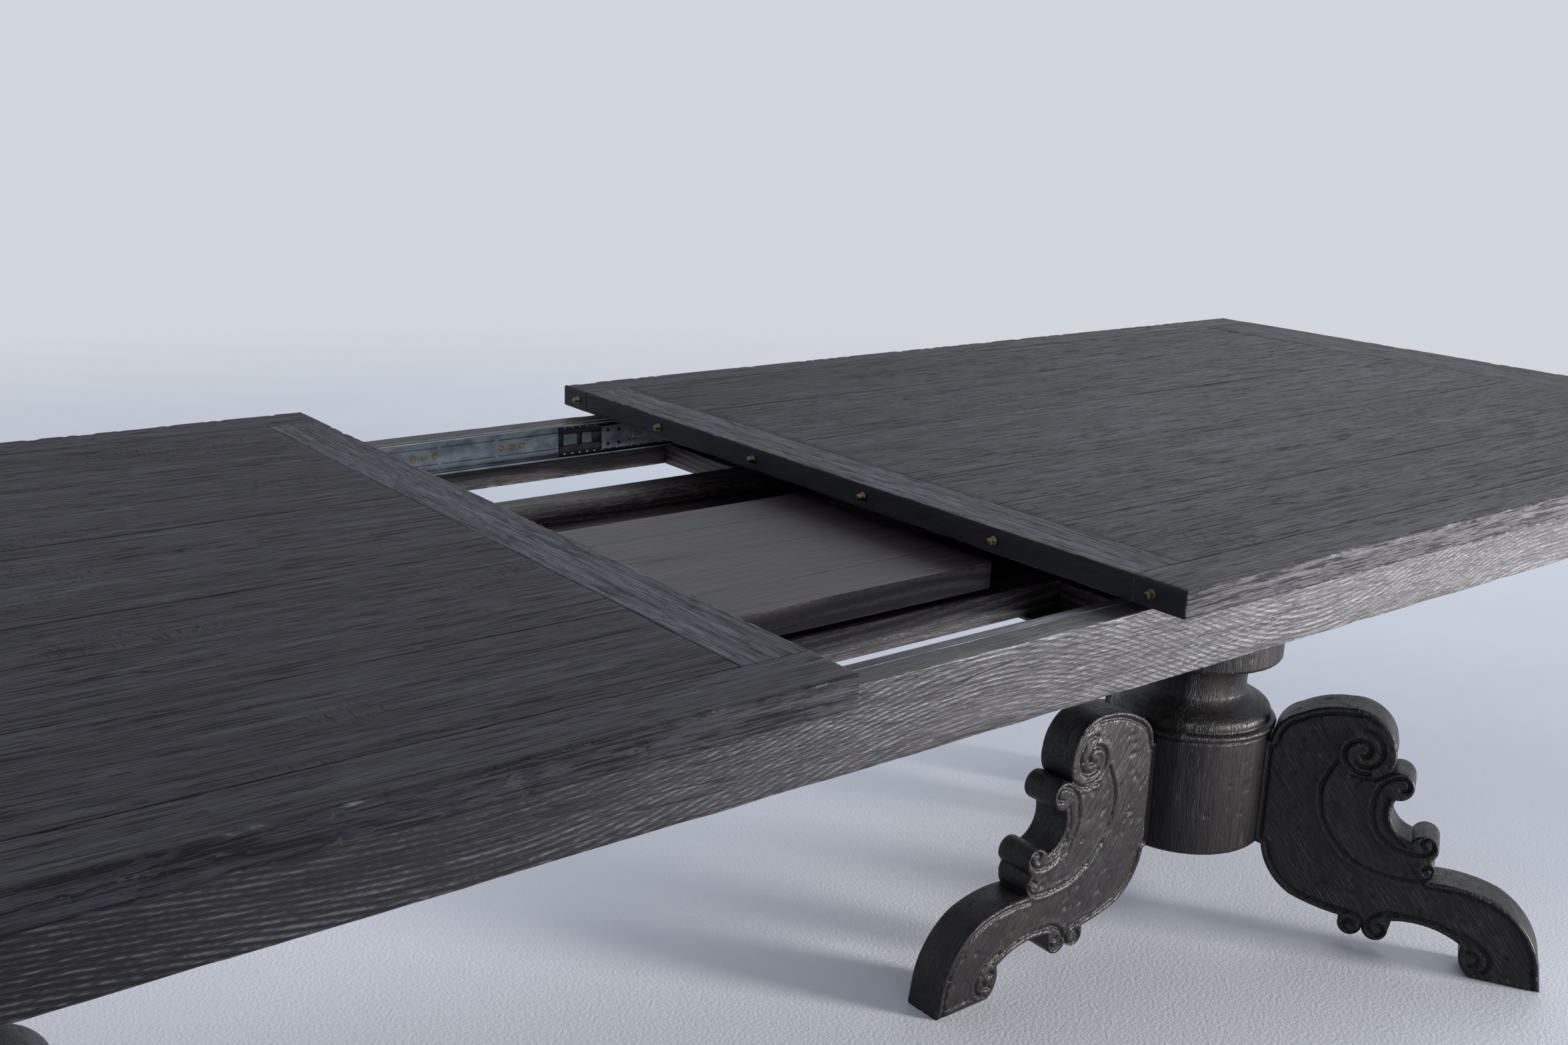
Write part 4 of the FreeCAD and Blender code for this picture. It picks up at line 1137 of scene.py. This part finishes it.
for word, side in sides:
    for halfWord, half in halves:
        low, high, under, over = memberLook["mark"]
        face, middle, rise = memberLook["face"] * side, slideLook["middle"], memberLook["rise"]
        across = sorted((face - rise * side, face + rise * side))
        along = sorted((low * half, high * half))
        mark = board((along[0], across[0], middle + under), (along[1], across[1], middle + over), 0,
                     rise * .8, memberLook["markStep"], memberLook["markStep"])
        x, drop = memberLook["rivet"]
        rivet = head("rivet", (x * half, face, middle + drop), (0, -side, 0))
        mark["dirtAndShade"] = mark["wear"] * 0
        marks = [{key: part[key] for key in ("points", "faces", "dirtAndShade")} for part in (mark, rivet)]
        assemble(f"{halfWord}_{word}_member_marks", marks, finishes["slide_zinc"],
                 bodyOf[f"{halfWord}_{word}_member"])

for node, thing in frame["nodes"].items():
    if thing.hide_render:
        continue
    name = "bolt_steel" if node.endswith("bolts") or node.endswith("member_screws") else "slide_zinc"
    thing.data.materials.clear()
    thing.data.materials.append(finishes[name])
print("metalwork finished")


# The stage, lamps and camera

stageLook = {"floor": (.93, .95, .985), "patch": (.74, .76, .80), "patchShare": .12, "rough": .62,
             "sky": (.645, .675, .725), "light": (.80, .86, 1.0), "lightStrength": .52,
             "near": 2.6, "far": 6.5, "radius": 7.0, "rings": 24, "turns": 96, "drop": .0005}


def makeFloor():
    # A disc just under the feet, whose rim glows like the sky behind it
    ring = np.linspace(0, stageLook["radius"], stageLook["rings"])[1:]
    profile = np.column_stack([ring, ring * 0 - stageLook["drop"]])
    part = revolve(profile, np.zeros(3), stageLook["turns"], closed=False)
    part["faces"] = [part["faces"][0][:, ::-1], np.arange(stageLook["turns"])[None, :]]
    floor = Finish("pale_floor", {"Specular IOR Level": 0.0})
    place = floor.node("TexCoord", output=3)
    distance = floor.node("VectorMath", {"operation": "LENGTH"}, {0: place}, 1)
    far = distance.between(stageLook["near"], stageLook["far"])
    patches = floor.speckle(place, (3, 3, 3), 3.0).between(.3, .7) * stageLook["patchShare"]
    colour = floor.mix(patches, stageLook["floor"], stageLook["patch"])
    floor.finish(colour, stageLook["rough"], floor.speckle(place, (190, 190, 190), 3.0), .001, .5)
    glow = floor.node("Emission", {}, {"Color": (*stageLook["sky"], 1.0), "Strength": 1.0})
    blend = floor.node("MixShader", {}, {0: far, 2: glow})
    floor.tree.links.new(floor.shader.outputs[0], blend.socket.node.inputs[1])
    floor.tree.links.new(blend.socket, floor.tree.nodes["Material Output"].inputs[0])
    mesh = bpy.data.meshes.new("floor")
    faces = [face for group in part["faces"] for face in group.tolist()]
    mesh.from_pydata(part["points"].tolist(), [], faces)
    mesh.materials.append(floor.material)
    thing = bpy.data.objects.new("floor", mesh)
    bpy.context.scene.collection.objects.link(thing)


def makeWorld():
    # Camera, gloss and transmission rays see the sky, and all others a plain pale light
    world = bpy.data.worlds.new("pale_room")
    bpy.context.scene.world = world
    world.use_nodes = True
    tree = world.node_tree
    shown, lit = tree.nodes["Background"], tree.nodes.new("ShaderNodeBackground")
    for background, colour, strength in ((shown, stageLook["sky"], 1.0),
                                         (lit, stageLook["light"], stageLook["lightStrength"])):
        background.inputs[0].default_value = (*colour, 1.0)
        background.inputs[1].default_value = strength
    rays = tree.nodes.new("ShaderNodeLightPath")
    seen = rays.outputs["Is Camera Ray"]
    for kind in ("Is Glossy Ray", "Is Transmission Ray"):
        either = tree.nodes.new("ShaderNodeMath")
        either.operation = "MAXIMUM"
        tree.links.new(seen, either.inputs[0])
        tree.links.new(rays.outputs[kind], either.inputs[1])
        seen = either.outputs[0]
    blend = tree.nodes.new("ShaderNodeMixShader")
    for number, output in enumerate((seen, lit.outputs[0], shown.outputs[0])):
        tree.links.new(output, blend.inputs[number])
    tree.links.new(blend.outputs[0], tree.nodes["World Output"].inputs[0])


lamps = {
    "key": {"at": (3.3, -3.9, .72), "to": (.70, -.3, .63), "size": 1.0, "power": 21.5, "spread": 30,
            "colour": (1, .985, .975)},
    "over": {"at": (4.6, 1.9, 3.8), "to": (.3, 0, .7), "size": 2.8, "power": 66, "spread": 180,
             "colour": (.94, .965, 1)},
}


def placeTurned(name, data, axes, at):
    # Links an object whose own X, Y and Z point along the axes
    thing = bpy.data.objects.new(name, data)
    turn = Matrix(np.column_stack(axes).tolist()).to_4x4()
    thing.matrix_world = Matrix.Translation(at) @ turn
    bpy.context.scene.collection.objects.link(thing)
    return thing


def makeLamps():
    # Square lamps, each turned to what it lights and hidden from the camera
    for name, lamp in lamps.items():
        data = bpy.data.lights.new(name, "AREA")
        data.shape = "SQUARE"
        data.size, data.energy, data.color = lamp["size"], lamp["power"], lamp["colour"]
        data.spread = math.radians(lamp["spread"])
        away = unit(np.array(lamp["at"], float) - lamp["to"])
        side = unit(np.cross((0, 0, 1), away))
        thing = placeTurned(name, data, [side, np.cross(away, side), away], lamp["at"])
        thing.visible_camera = False


cameraLook = {"at": (-.9224, -1.3809, 1.1952), "yaw": 52.02, "pitch": 15.53, "roll": 1.87,
              "lens": 37.52, "sensor": 36.0}


def makeCamera():
    # The camera looks along its yaw and pitch, rolled about that line
    yaw, pitch, roll = (math.radians(cameraLook[key]) for key in ("yaw", "pitch", "roll"))
    ahead = np.array([math.cos(pitch) * math.cos(yaw), math.cos(pitch) * math.sin(yaw), -math.sin(pitch)])
    right = unit(np.cross(ahead, (0, 0, 1)))
    up = np.cross(right, ahead)
    turned = math.cos(roll) * right + math.sin(roll) * up
    upright = math.cos(roll) * up - math.sin(roll) * right
    data = bpy.data.cameras.new("camera")
    data.lens, data.sensor_width, data.sensor_fit = cameraLook["lens"], cameraLook["sensor"], "HORIZONTAL"
    data.clip_end = 60
    bpy.context.scene.camera = placeTurned("camera", data, [turned, upright, -ahead], cameraLook["at"])


makeFloor()
makeWorld()
makeLamps()
makeCamera()
bpy.context.scene.view_settings.view_transform = "Standard"
print("stage, lamps and camera placed")
